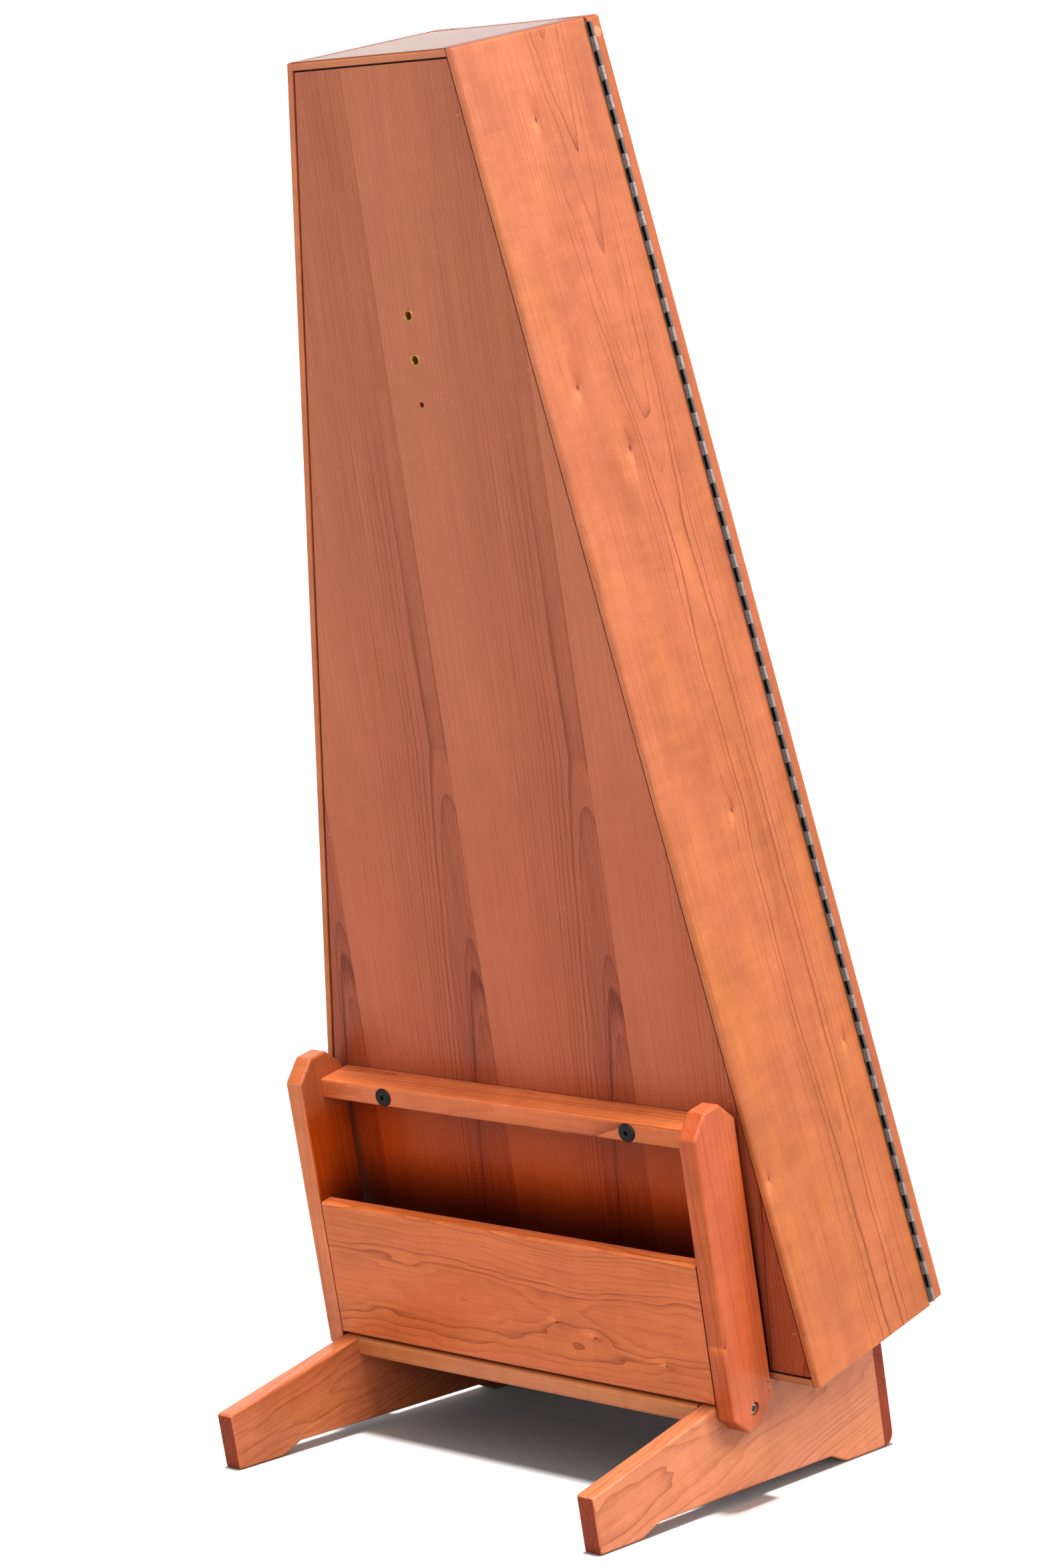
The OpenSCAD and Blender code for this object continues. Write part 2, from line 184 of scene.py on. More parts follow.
def finish_shading(obj, angle):
    """Smooth faces, sharp edges where the surface turns, flat faces kept flat."""
    bm = bmesh.new()
    bm.from_mesh(obj.data)
    limit = math.radians(angle)
    for f in bm.faces:
        f.smooth = True
    for e in bm.edges:
        e.smooth = not (e.is_manifold and e.calc_face_angle(0) > limit)
    bm.to_mesh(obj.data)
    bm.free()
    weighted = obj.modifiers.new("weighted", "WEIGHTED_NORMAL")
    weighted.keep_sharp = True


def solid(rings, softness, segments=4, matrix=CASE):
    """A closed solid between two matching rings, its edges rounded.

    softness is their radius, or softness(normal, centre) is a face's, and an edge takes the
    smaller of its two. Edges of a curved outline, which turn little, stay as they are.
    """
    radius = softness if callable(softness) else lambda normal, centre: softness
    bm = bmesh.new()
    a, b = ([bm.verts.new(p) for p in ring] for ring in rings)
    bm.faces.new(a)
    bm.faces.new(b[::-1])
    n = len(a)
    for i in range(n):
        bm.faces.new((a[i], b[i], b[(i + 1) % n], a[(i + 1) % n]))
    bmesh.ops.recalc_face_normals(bm, faces=bm.faces)
    weight = bm.edges.layers.float.new("bevel_weight_edge")
    radii = {e: min(radius(f.normal, f.calc_center_median()) for f in e.link_faces)
             for e in bm.edges if e.calc_face_angle(0) > math.radians(27)}
    widest = max(radii.values())
    for e, r in radii.items():
        e[weight] = r / widest
    obj = mesh_object(bm)
    bevel = obj.modifiers.new("edges", "BEVEL")
    bevel.width = widest
    bevel.segments = segments
    bevel.limit_method = "WEIGHT"
    bevel.use_clamp_overlap = False
    apply_modifiers(obj)
    obj.data.transform(matrix)
    return obj


def rounded(points, radii, steps=5):
    """The outline through points, with corner i rounded to radii[i]."""
    out = []
    n = len(points)
    for i, r in enumerate(radii):
        p = Vector(points[i])
        if not r:
            out.append(tuple(p))
            continue
        u = (Vector(points[i - 1]) - p).normalized()
        v = (Vector(points[(i + 1) % n]) - p).normalized()
        half = math.acos(max(-1, min(1, u.dot(v)))) / 2
        centre = p + (u + v).normalized() * r / math.sin(half)
        start = p + u * r / math.tan(half) - centre
        end = p + v * r / math.tan(half) - centre
        turn = math.atan2(end.y, end.x) - math.atan2(start.y, start.x)
        turn = (turn + math.pi) % math.tau - math.pi
        for k in range(steps + 1):
            c, s = math.cos(turn * k / steps), math.sin(turn * k / steps)
            out.append((centre.x + start.x * c - start.y * s,
                        centre.y + start.x * s + start.y * c))
    return out


def rect(a0, a1, b0, b1):
    return [(a0, b0), (a1, b0), (a1, b1), (a0, b1)]


def trap(a, b, inset):
    """Trapezium between heights a and b, in from the slanted sides by inset."""
    k = inset / math.cos(TAPER)
    return [(-half_w(a) + k, a), (half_w(a) - k, a), (half_w(b) - k, b), (-half_w(b) + k, b)]


def plate(outline, w0, w1):
    """Rings of a plate with that (across, up) outline, from depth w0 to w1."""
    return [(x, w0, z) for x, z in outline], [(x, w1, z) for x, z in outline]


def bar(section, x0, x1):
    """Rings of a bar with that (depth, up) section, from x0 to x1."""
    return [(x0, y, z) for y, z in section], [(x1, y, z) for y, z in section]


def cross_bar(section, inset):
    """Rings of a bar whose ends follow the slanted sides, inset from them."""
    k = inset / math.cos(TAPER)
    return ([(k - half_w(z), y, z) for y, z in section],
            [(half_w(z) - k, y, z) for y, z in section])


def side_run(section, side, a, b):
    """Rings of a board along a slanted side, its section (inwards, depth), from height a to b."""
    def ring(v):
        return [(side * (half_w(v) - x / math.cos(TAPER)), y, v) for x, y in section]
    return ring(a), ring(b)


def circle(bm, x, z, r, count):
    """Vertices about the point x, z of an upright axis."""
    return [bm.verts.new((x + r * math.cos(math.tau * k / count),
                          r * math.sin(math.tau * k / count), z)) for k in range(count)]


def skin(bm, rings):
    """Faces between rings of vertices, or of one vertex, and over the ends."""
    segments = max(len(ring) for ring in rings)
    for low, high in zip(rings, rings[1:]):
        for k in range(segments):
            j = (k + 1) % segments
            unique = list(dict.fromkeys((low[k % len(low)], low[j % len(low)],
                                         high[j % len(high)], high[k % len(high)])))
            if len(unique) > 2:
                bm.faces.new(unique)
    for end in (rings[0], rings[-1]):
        if len(end) > 2:
            bm.faces.new(end)


def lathe(profile, matrix, segments=48):
    """A solid of revolution about z, from (radius, height) points."""
    bm = bmesh.new()
    skin(bm, [circle(bm, 0, h, r, segments if r else 1) for r, h in profile])
    return mesh_object(bm, matrix)


def facing(point, axis):
    """The frame of something turned about axis that starts at point, in the case's frame."""
    turn = Vector(axis).to_track_quat("Z", "Y").to_matrix().to_4x4()
    return CASE @ Matrix.Translation(point) @ turn


def cut(obj, *tools):
    """Takes the tools away from obj and removes them."""
    for tool in tools:
        boolean = obj.modifiers.new("cut", "BOOLEAN")
        boolean.operation = "DIFFERENCE"
        boolean.solver = "EXACT"
        boolean.object = tool
    apply_modifiers(obj)
    for tool in tools:
        bpy.data.objects.remove(tool)
    return obj


def rod(point, axis, length, radius, sides=48):
    """A plain cylinder for cutting holes."""
    return lathe([(radius, 0), (radius, length)], facing(point, axis), sides)


def sharp(rings, matrix=CASE):
    """A solid between two rings for cutting, its edges all but sharp."""
    return solid(rings, 0.01, 1, matrix)


def join(objects):
    """One object from several, by adding up their meshes."""
    bm = bmesh.new()
    for o in objects:
        o.data.transform(o.matrix_world)
        bm.from_mesh(o.data)
        bpy.data.objects.remove(o)
    return mesh_object(bm)


# ---- node helpers ----

class Shade:
    """Builds one material's nodes with short calls; values are numbers or sockets."""

    def __init__(self, name):
        self.material = bpy.data.materials.new(name)
        self.material.use_nodes = True
        self.tree = self.material.node_tree
        self.tree.nodes.clear()
        self.shader = self.node("ShaderNodeBsdfPrincipled")
        out = self.node("ShaderNodeOutputMaterial")
        self.tree.links.new(self.shader.outputs[0], out.inputs["Surface"])

    def node(self, kind, **settings):
        n = self.tree.nodes.new(kind)
        for key, value in settings.items():
            setattr(n, key, value)
        return n

    def feed(self, socket, value):
        if isinstance(value, bpy.types.NodeSocket):
            self.tree.links.new(value, socket)
        elif isinstance(value, (tuple, list)) and len(value) == 3 and socket.type == "RGBA":
            socket.default_value = (*value, 1)
        else:
            socket.default_value = value

    def set(self, **values):
        """Feeds the shader's sockets; an underscore stands for a space."""
        for key, value in values.items():
            self.feed(self.shader.inputs[key.replace("_", " ")], value)

    def math(self, operation, *values, clamp=False):
        n = self.node("ShaderNodeMath", operation=operation, use_clamp=clamp)
        for socket, value in zip(n.inputs, values):
            self.feed(socket, value)
        return n.outputs[0]

    def add(self, *values):
        total = values[0]
        for value in values[1:]:
            total = self.math("ADD", total, value)
        return total

    def times(self, a, b):
        return self.math("MULTIPLY", a, b)

    def minus(self, a, b):
        return self.math("SUBTRACT", a, b)

    def over(self, a, b):
        return self.math("DIVIDE", a, b)

    def power(self, a, b):
        return self.math("POWER", a, b)

    def place(self):
        """The point in the object's own axes, in millimetres, as three numbers."""
        p = self.node("ShaderNodeTexCoord").outputs["Object"]
        n = self.node("ShaderNodeSeparateXYZ")
        self.feed(n.inputs[0], p)
        return [self.times(s, 1 / MM) for s in n.outputs]

    def noise(self, x, y, z, detail=2, roughness=0.5):
        """Noise about 0, from about -1 to 1."""
        point = self.node("ShaderNodeCombineXYZ")
        for socket, value in zip(point.inputs, (x, y, z)):
            self.feed(socket, value)
        n = self.node("ShaderNodeTexNoise")
        self.feed(n.inputs["Vector"], point.outputs[0])
        n.inputs["Scale"].default_value = 1
        n.inputs["Detail"].default_value = detail
        n.inputs["Roughness"].default_value = roughness
        return self.math("MULTIPLY_ADD", n.outputs[0], 2, -1)

    def scaled_noise(self, place, scales, detail=2, roughness=0.5):
        """Noise at place, its three axes scaled by scales, or all by one number."""
        if not isinstance(scales, tuple):
            scales = (scales,) * 3
        scaled = [self.times(v, scale) for v, scale in zip(place, scales)]
        return self.noise(*scaled, detail, roughness)

    def step(self, value, low, high, start=0, end=1):
        """Smooth change from start at low to end at high."""
        n = self.node("ShaderNodeMapRange", interpolation_type="SMOOTHSTEP")
        for socket, v in zip(n.inputs, (value, low, high, start, end)):
            self.feed(socket, v)
        return n.outputs[0]

    def ramp(self, value, places, colours):
        n = self.node("ShaderNodeValToRGB")
        self.feed(n.inputs[0], value)
        elements = n.color_ramp.elements
        while len(elements) < len(places):
            elements.new(0.5)
        for element, place, colour in zip(elements, places, colours):
            element.position = place
            element.color = (*colour, 1)
        return n.outputs[0]

    def mix(self, factor, a, b, blend="MIX"):
        n = self.node("ShaderNodeMix", data_type="RGBA", blend_type=blend)
        for socket, v in zip((n.inputs[0], n.inputs[6], n.inputs[7]), (factor, a, b)):
            self.feed(socket, v)
        return n.outputs[2]

    def dyed(self, colour, by):
        return self.mix(1.0, colour, by, "MULTIPLY")

    def tint(self, factor, colour, by):
        """colour, multiplied by as much of by as factor says."""
        return self.mix(factor, colour, self.dyed(colour, by))

    def mottled(self, patch, colour, amount):
        """colour, darker and lighter by amount where patch is low and high."""
        dark = tuple(c * (1 - amount) for c in colour)
        light = tuple(min(1, c * (1 + amount)) for c in colour)
        return self.mix(self.step(patch, -0.5, 0.5), dark, light)

    def bump(self, height, depth_mm, strength):
        n = self.node("ShaderNodeBump")
        n.inputs["Strength"].default_value = strength
        n.inputs["Distance"].default_value = depth_mm * MM
        self.feed(n.inputs["Height"], height)
        self.feed(self.shader.inputs["Normal"], n.outputs[0])


def rgb(r, g, b):
    """A display colour of 0 to 255 as linear numbers."""
    return tuple(((c / 255 + 0.055) / 1.055) ** 2.4 for c in (r, g, b))


# ---- materials ----

# gum streaks, ring lines, body, light wood and sheen, at these places of the tone
TONES = (0.0, 0.24, 0.50, 0.68, 0.92)
CHERRY = [rgb(64, 25, 13), rgb(106, 52, 29), rgb(143, 82, 50), rgb(156, 95, 62),
          rgb(170, 109, 76)]
VENEER = [rgb(58, 24, 14), rgb(101, 50, 32), rgb(141, 87, 59), rgb(154, 100, 70),
          rgb(168, 114, 84)]


def tinted(colours, r, g, b):
    """The same colours with their red, green and blue scaled."""
    return [tuple(c * k for c, k in zip(colour, (r, g, b))) for colour in colours]


STAND_CHERRY = tinted(CHERRY, 1.36, 1.36, 1.16)
FOOT_CHERRY = {"left": tinted(CHERRY, 1.35, 1.65, 1.85),
               "right": tinted(CHERRY, 1.30, 1.46, 1.5)}
UPRIGHT_CHERRY = {"left": tinted(CHERRY, 1.16, 0.99, 0.82),
                  "right": tinted(CHERRY, 1.12, 1.16, 1.04)}

# Painted shade: the wood inside the album pocket is painted darker and redder, where the pocket
# shades it: (full below, none above, factor).
POCKET_SHADE = [(200, 236, (1.0, 0.60, 0.14)), (108, 172, (0.28, 0.22, 0.25))]
# The heartwood and the single dark lines of the back panel fade between these heights.
HEART_FADE = (520, 860)
MARK_FADE = (600, 850)


def cherry(name, seed, pith=(0, -60), ring=4.5, taper=0.0, run=(-3000, 3000), knots=(),
           colours=CHERRY, figure=1.0, lines=1.0, band=0.10, warp=6.0, burl=2.0, uneven=0.9,
           shift=0.0, quiet=None, heart=None, leaves=None, hair=None, edge=0.0, pink=0.0,
           crisp=10.0, marks=(), end=0.34, gloss=0.25, coat=0.18, calm=None, painted_sheen=None,
           shade=(), painted_edge_tint=(1.9, 2.15, 2.3)):
    """Oiled cherry. The grain runs along the object's z, and its y is the depth of the board.

    Rings, in millimetres: pith is where the tree's middle lies across and below the face,
    ring their width, taper how fast they move across between the heights in run, and shift
    moves them all. warp bends them, burl swirls them and uneven varies their width. A knot
    is (across, along, size). lines is the ring lines' strength, crisp how narrow they are
    and band the strength of the tone beside them. They fade between quiet's two distances
    from the pith, and between calm's two heights to its third number. heart is (radius,
    darkening) of the heartwood, marks the radii of single dark lines, hair (spacing,
    strength) of fine straight ones, and leaves (first seam, width) of veneer.

    figure is the strength of shimmer and of the turn from gold to pink, and pink moves that
    turn. edge paints light on narrow faces towards painted_edge_tint, or painted shade where
    it is below naught, and end darkens end grain, or paints a highlight on it where it is
    below naught. painted_sheen's third number multiplies the colour below its first height,
    and fades out at its second: a painted sheen that leaves the wood paler higher up. shade
    lists the (axis, start, stop) limits of the wood where POCKET_SHADE paints the pocket's shade.
    """
    m = Shade("cherry_" + name)
    x, y, z = place = m.place()
    leaf_tone = 0.0
    if leaves:
        seam, width = leaves
        count = m.over(m.minus(seam, x), width)
        leaf = m.math("FLOOR", count)
        x = m.times(m.minus(count, leaf), width)
        z = m.math("MULTIPLY_ADD", leaf, 2.2, z)
        leaf_tone = m.step(x, 20, width - 30, 0.07, -0.03)

    # growth rings about a wandering pith, in noise of the board's own
    sx = m.add(x, seed * 137.0)
    sz = m.add(z, seed * 311.0)
    here = (sx, y, sz)
    sway = m.scaled_noise(here, (0.012, 0.012, 0.0024))
    ripple = m.scaled_noise(here, (0.05, 0.05, 0.022))
    swirl = m.scaled_noise(here, (0.028, 0.028, 0.008), 2, 0.45)
    across = m.add(m.minus(x, pith[0]), m.times(sway, warp),
                   m.times(ripple, warp * 0.22))
    below = m.minus(y, pith[1])
    radius = m.math("SQRT", m.add(m.times(across, across), m.times(below, below)))
    along = m.math("MINIMUM", m.math("MAXIMUM", z, run[0]), run[1])
    radius = m.add(radius, m.times(along, taper), m.times(sway, warp * 0.5),
                   m.times(swirl, burl), shift)
    dark_knot = 0.0
    painted_knot_sheen = 0.0
    for kx, kz, size in knots:
        dx = m.over(m.minus(x, kx), size)
        dz = m.over(m.minus(z, kz), size * 1.7)
        square = m.add(m.times(dx, dx), m.times(dz, dz))
        near, core, lip = (m.math("EXPONENT", m.times(square, -k)) for k in (1.0, 110.0, 9.0))
        radius = m.add(radius, m.times(near, size * 0.28))
        dark_knot = m.add(dark_knot, m.times(core, 0.40))
        # Painted highlight on one side of each knot and painted shade on the other, in place of
        # their sheen.
        slope = m.add(m.times(dx, -0.6), dz)
        painted_knot_sheen = m.add(painted_knot_sheen, m.times(m.times(near, slope), -0.7),
                     m.times(m.times(lip, slope), -2.6))

    # each ring's dark late wood and broad early tone, of a strength drawn for the ring
    count = m.over(radius, ring)
    count = m.add(count, m.times(m.noise(m.times(count, 0.31), seed, 0.5, 1), uneven))
    index = m.math("FLOOR", count)
    inside = m.minus(count, index)
    chance = m.node("ShaderNodeTexWhiteNoise", noise_dimensions="1D")
    m.feed(chance.inputs["W"], m.add(index, seed * 7.3))
    strong = m.math("MULTIPLY_ADD", m.power(chance.outputs["Value"], 1.5), 0.8, 0.2)
    if quiet:
        strong = m.times(strong, m.step(m.math("ABSOLUTE", across), *quiet, 1, 0.3))
    if calm:
        strong = m.times(strong, m.step(z, calm[0], calm[1], 1, calm[2]))
    late = m.times(m.power(inside, crisp), strong)
    early = m.times(m.power(inside, 2.0), strong)
    middle = 0.0
    if heart:
        inner = m.times(m.step(radius, heart[0] - 6, heart[0] + 0.5, 1, 0),
                        m.step(z, *HEART_FADE, 1, 0.12))
        middle = m.times(inner, heart[1])
        late = m.times(late, m.math("MULTIPLY_ADD", inner, -0.62, 1.0))
        early = m.times(early, m.math("MULTIPLY_ADD", inner, -0.3, 1.0))
    for mark in marks:
        away = m.minus(radius, mark)
        rise = m.step(away, -2.0, 0, 0, m.step(z, *MARK_FADE, 0.66, 0.1))
        late = m.math("MAXIMUM", late, m.times(rise, m.step(away, 0, 0.5, 1, 0)))
    hairs = 0.0
    if hair:
        bent = m.add(x, m.times(sway, warp), m.times(ripple, 0.4))
        turn = m.add(m.over(bent, hair[0]),
                     m.times(m.noise(m.times(sx, 0.11), seed, m.times(sz, 0.0008), 2), 1.6))
        hairs = m.times(m.power(m.math("FRACT", turn), 3.0), hair[1])

    # fibres, pores and small dark gum streaks
    fibre = m.scaled_noise(here, (0.62, 0.62, 0.006), 3, 0.66)
    fine = m.scaled_noise(here, (2.4, 2.4, 0.10), 2, 0.6)
    pore = m.step(m.scaled_noise(here, (1.7, 1.7, 0.16), 1), 0.25, 0.6)
    gum = m.step(m.scaled_noise(here, (0.45, 0.45, 0.016), 1), 0.58, 0.72)

    # the board's faces: end grain across the grain, narrow faces beside it
    split = m.node("ShaderNodeSeparateXYZ")
    m.feed(split.inputs[0], m.node("ShaderNodeTexCoord").outputs["Normal"])
    end_grain = m.step(m.math("ABSOLUTE", split.outputs[2]), 0.75, 0.97)
    narrow = m.step(m.math("ABSOLUTE", split.outputs[0]), 0.55, 0.95)

    late = m.times(late, m.minus(1.0, m.times(end_grain, 0.75)))
    tone = m.add(0.55,
                 m.times(fibre, 0.19),
                 m.times(fine, 0.08),
                 m.times(pore, -0.07),
                 m.times(late, -0.30 * lines),
                 m.times(early, -band * lines),
                 m.times(gum, -0.08),
                 m.times(hairs, -1.0),
                 m.times(middle, -1.0),
                 m.times(narrow, edge),
                 m.times(dark_knot, -1.0),
                 leaf_tone)
    tone = m.math("SUBTRACT", tone, m.times(end_grain, end), clamp=True)
    colour = m.ramp(tone, TONES, colours)

    # soft shimmer that changes the tone from pink to gold but never to brown
    cloud = m.scaled_noise(here, (0.022, 0.02, 0.0085), 3, 0.55)
    ribbon = m.noise(m.add(m.times(sx, 0.024), m.times(sz, 0.008)), m.times(y, 0.02),
                     m.times(sz, 0.07), 4, 0.6)
    hue = m.noise(m.add(m.times(sx, 0.030), 40), m.times(y, 0.03), m.times(sz, 0.005))
    shimmer = m.step(m.add(m.times(cloud, 0.9), m.times(ribbon, 0.5)), -0.9, 0.9)
    dim, bright = 0.16 * figure, 0.17 * figure
    colour = m.mix(shimmer, m.dyed(colour, (1 - dim, 1 - 1.2 * dim, 1 - 1.1 * dim)),
                   m.dyed(colour, (1 + bright * 0.8, 1 + bright, 1 + bright * 1.1)))
    rosy = m.step(m.add(m.times(hue, 0.65 * figure), pink), -0.5, 0.5)
    colour = m.mix(rosy, m.dyed(colour, (1.0, 1.04, 0.90)), m.dyed(colour, (1.0, 0.98, 1.22)))
    # painted light on the narrow faces, or painted shade where edge is below naught
    colour = m.tint(m.times(narrow, edge), colour, painted_edge_tint)
    # end grain darker, or painted lighter as a painted highlight where end is below naught
    colour = m.tint(m.times(end_grain, end), colour, (1.3, 0.55, 0.2))
    # the knots' painted highlight and painted shade
    if knots:
        colour = m.tint(m.step(painted_knot_sheen, 0.05, 1.0), colour, (1.55, 1.75, 1.7))
        colour = m.tint(m.step(painted_knot_sheen, -1.0, -0.05, 1, 0), colour, (0.72, 0.6, 0.5))
    # painted sheen: below low the colour is multiplied by factor, so that the wood reads paler
    # higher up
    if painted_sheen:
        low, high, factor = painted_sheen
        colour = m.tint(m.step(z, low, high, 1, 0), colour, factor)
    # painted shade of the album pocket, within the given limits
    if shade:
        within = 1.0
        for axis, start, stop in shade:
            within = m.times(within, m.math("GREATER_THAN", place[axis], start))
            within = m.times(within, m.math("LESS_THAN", place[axis], stop))
        for low, high, deepest in POCKET_SHADE:
            hidden = m.times(m.step(place[2], low, high, 1, 0), within)
            colour = m.tint(hidden, colour, deepest)
    rough = m.add(0.40, m.times(fibre, 0.05), m.times(late, 0.06), m.times(end_grain, 0.25))
    m.set(Base_Color=colour, Roughness=rough, IOR=1.5, Specular_IOR_Level=gloss,
          Coat_Weight=coat, Coat_Roughness=0.14, Coat_IOR=1.5)
    m.bump(m.add(m.times(fine, 0.5), fibre, m.times(pore, -1.0), m.times(late, -1.0)), 0.05, 0.3)
    return m.material


def metal(name, colour, roughness, mottle, scale=0.5, metallic=1.0):
    """Metal with uneven tarnish."""
    m = Shade(name)
    place = m.place()
    patch = m.scaled_noise(place, scale, 4, 0.6)
    grain = m.scaled_noise(place, 6.0)
    m.set(Base_Color=m.mottled(patch, colour, mottle), Metallic=metallic,
          Roughness=m.add(roughness, m.times(patch, 0.08), m.times(grain, 0.05)))
    m.bump(grain, 0.02, 0.4)
    return m.material


def shaded_leaf(name, colour, gap_start):
    """Hinge steel with painted shade, nearly black from gap_start to the boards, by the barrel."""
    m = Shade(name)
    place = m.place()
    patch = m.scaled_noise(place, 0.5, 4, 0.6)
    lit = m.mix(m.step(patch, -0.5, 0.5), tuple(c * 0.8 for c in colour), colour)
    # painted shade in the gap beside the barrel, nearly black
    gap_shade = m.times(m.step(place[0], gap_start - 0.3, gap_start + 0.1),
                   m.step(place[0], 0.3, 0.8, 1, 0))
    m.set(Base_Color=m.mix(gap_shade, lit, (0.004, 0.004, 0.004)),
          Metallic=m.step(gap_shade, 0, 1, 0.6, 0), Specular_IOR_Level=0.15,
          Roughness=m.add(0.48, m.times(patch, 0.08), m.times(gap_shade, 0.4)))
    m.bump(patch, 0.02, 0.4)
    return m.material


def plain(name, colour, roughness, speckle=0.16, scale=1.2):
    """A matt material with a fine mottled tone."""
    m = Shade(name)
    patch = m.scaled_noise(m.place(), scale, 4, 0.65)
    m.set(Base_Color=m.mottled(patch, colour, speckle),
          Roughness=m.add(roughness, m.times(patch, 0.05)))
    m.bump(patch, 0.05, 0.4)
    return m.material


def pale_wood(name, colour, seed):
    """Unfinished dowel or block wood, its grain along the object's z."""
    m = Shade(name)
    x, y, z = m.place()
    fibre = m.noise(m.add(m.times(x, 1.3), seed), m.times(y, 1.3), m.times(z, 0.03), 3, 0.6)
    band = m.noise(m.add(m.times(x, 0.16), seed), m.times(y, 0.16), m.times(z, 0.01), 2)
    tone = m.step(m.add(m.times(fibre, 0.6), m.times(band, 0.7)), -0.8, 0.8)
    m.set(Base_Color=m.mix(tone, tuple(c * 0.72 for c in colour), colour),
          Roughness=m.add(0.6, m.times(fibre, 0.06)))
    m.bump(fibre, 0.06, 0.4)
    return m.material


def glass(name):
    """Clear glass, very slightly smeared."""
    m = Shade(name)
    smear = m.scaled_noise(m.place(), 0.02)
    m.set(Base_Color=(0.93, 0.97, 0.955), Transmission_Weight=1.0, IOR=1.5,
          Roughness=m.step(smear, -1, 1, 0.0, 0.03))
    return m.material


STEEL = metal("steel_hinge", rgb(132, 132, 132), 0.42, 0.22, metallic=0.6)
# The door's leaf is the same steel painted darker, as painted shade, and nearly black as painted
# shade beside the barrel.
PAINTED_SHADE_STEEL = shaded_leaf("steel_hinge_door", rgb(104, 101, 99), BARREL_R - HINGE_OUT - 0.1)
BRASS = metal("brass", rgb(168, 132, 84), 0.32, 0.14, 0.6)
NICKEL = metal("nickel", rgb(178, 178, 180), 0.26, 0.08, 0.4)
ZINC = metal("zinc", rgb(168, 162, 156), 0.36, 0.2, 0.6)
BLACK = metal("black_oxide", rgb(44, 42, 42), 0.40, 0.25, metallic=0.6)
BIRCH = pale_wood("birch", rgb(184, 118, 80), 3)
# dark filler in the nail marks; also painted shade on the floors of the holes
PUTTY = plain("putty", rgb(160, 96, 70), 0.6)
PIT = plain("dark_filler_and_painted_shade", rgb(62, 34, 24), 0.8)
FELT = plain("felt", rgb(58, 56, 56), 0.95, 0.28, 3.0)
GLASS = glass("clear_glass")


def grained(origin, along, normal, base=CASE):
    """A board's own frame: z along the grain, y out of its face, in the given base."""
    z = (base.to_3x3() @ Vector(along)).normalized()
    y = (base.to_3x3() @ Vector(normal)).normalized()
    return axes(y.cross(z), y, z, base @ Vector(origin))


def fitting(obj, name, material, body=ROOT, node=None, own=None, angle=32):
    """Gives a piece its name, own axes, material and body, and hides the CAD node it replaces."""
    obj.name = name
    obj.data.name = name
    if own:
        settle(obj, own)
    finish_shading(obj, angle)
    obj.data.materials.clear()
    obj.data.materials.append(material)
    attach(obj, body)
    if node:
        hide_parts(node)


def board(obj, name, node, material, grain, body=ROOT):
    """The same for a wooden piece, whose axes follow its grain."""
    fitting(obj, name, material, body, node, grain, 38)


# ---- case ----

SIDE_SECTION = [(0, -CASE_D), (BOARD, -CASE_D), (BOARD, PANEL_FRONT), (LIP, PANEL_FRONT),
                (LIP, 0), (0, 0)]
# edge radii: outside and back edges, front and end edges, the lip's inner edge, joints
OUTER_R, END_R, LIP_R, JOINT_R = 3.0, 2.2, 0.8, 0.25


def case_softness(axis, sign, outside, ends, rest):
    """Radii of a case board whose outside face looks along axis, to the side of sign."""
    def softness(normal, centre):
        if normal[axis] * sign > 0.8:
            return outside
        if normal.y > 0.9 and centre.y > -1:
            return OUTER_R
        if normal.y < -0.9:
            return END_R
        return ends if abs(normal.z) > 0.9 else rest
    return softness


def side_frame(side):
    """A slanted side's frame: y is out of its face and z up the slant."""
    along = (-side * math.sin(TAPER), 0, math.cos(TAPER))
    normal = (side * math.cos(TAPER), 0, math.sin(TAPER))
    return grained((side * FOOT_HALF, 0, 0), along, normal)


# the knots of the sides, the left ones as seen: (depth, height up the slant, size)
LEFT_KNOTS = [(-81, 1105, 14), (-41, 884, 15), (-87, 821, 17), (-91, 498, 14), (-158, 263, 9),
              (-8, 191, 11)]
RIGHT_KNOTS = [(60, 980, 14), (112, 640, 16), (40, 350, 13)]
# The sides have a painted sheen, their colour paler higher up and warmer low down, and a little
# painted light on their narrow faces.
SIDE_LOOK = dict(colours=tinted(CHERRY, 1.04, 1.16, 1.20), figure=1.35, band=0.03, warp=11,
                 uneven=1.2, edge=0.05, hair=(2.3, 0.03), pink=0.26, coat=0.14,
                 painted_sheen=(200, 950, (1.0, 0.98, 0.77)))
left_wood = cherry("side_left", 1, pith=(-120, -45), ring=2.5, taper=-0.036, run=(760, 2000),
                   knots=LEFT_KNOTS, lines=1.5, quiet=(22, 45), **SIDE_LOOK)
right_wood = cherry("side_right", 4, pith=(70, -48), ring=2.8, taper=0.03, run=(-3000, 700),
                    knots=RIGHT_KNOTS, lines=1.4, quiet=(30, 70), **SIDE_LOOK)
for side, tag, wood in ((-1, "left", left_wood), (1, "right", right_wood)):
    piece = solid(side_run(SIDE_SECTION, side, 0, CASE_H),
                  case_softness(0, side, OUTER_R, END_R, LIP_R))
    board(piece, "side_board_" + tag, "case_side_" + tag, wood, side_frame(side))


def lip_softness(up):
    def softness(normal, centre):
        if abs(normal.x) > 0.6 or normal.y < -0.9:
            return 0.1
        return LIP_R if normal.z * up < -0.9 else OUTER_R
    return softness


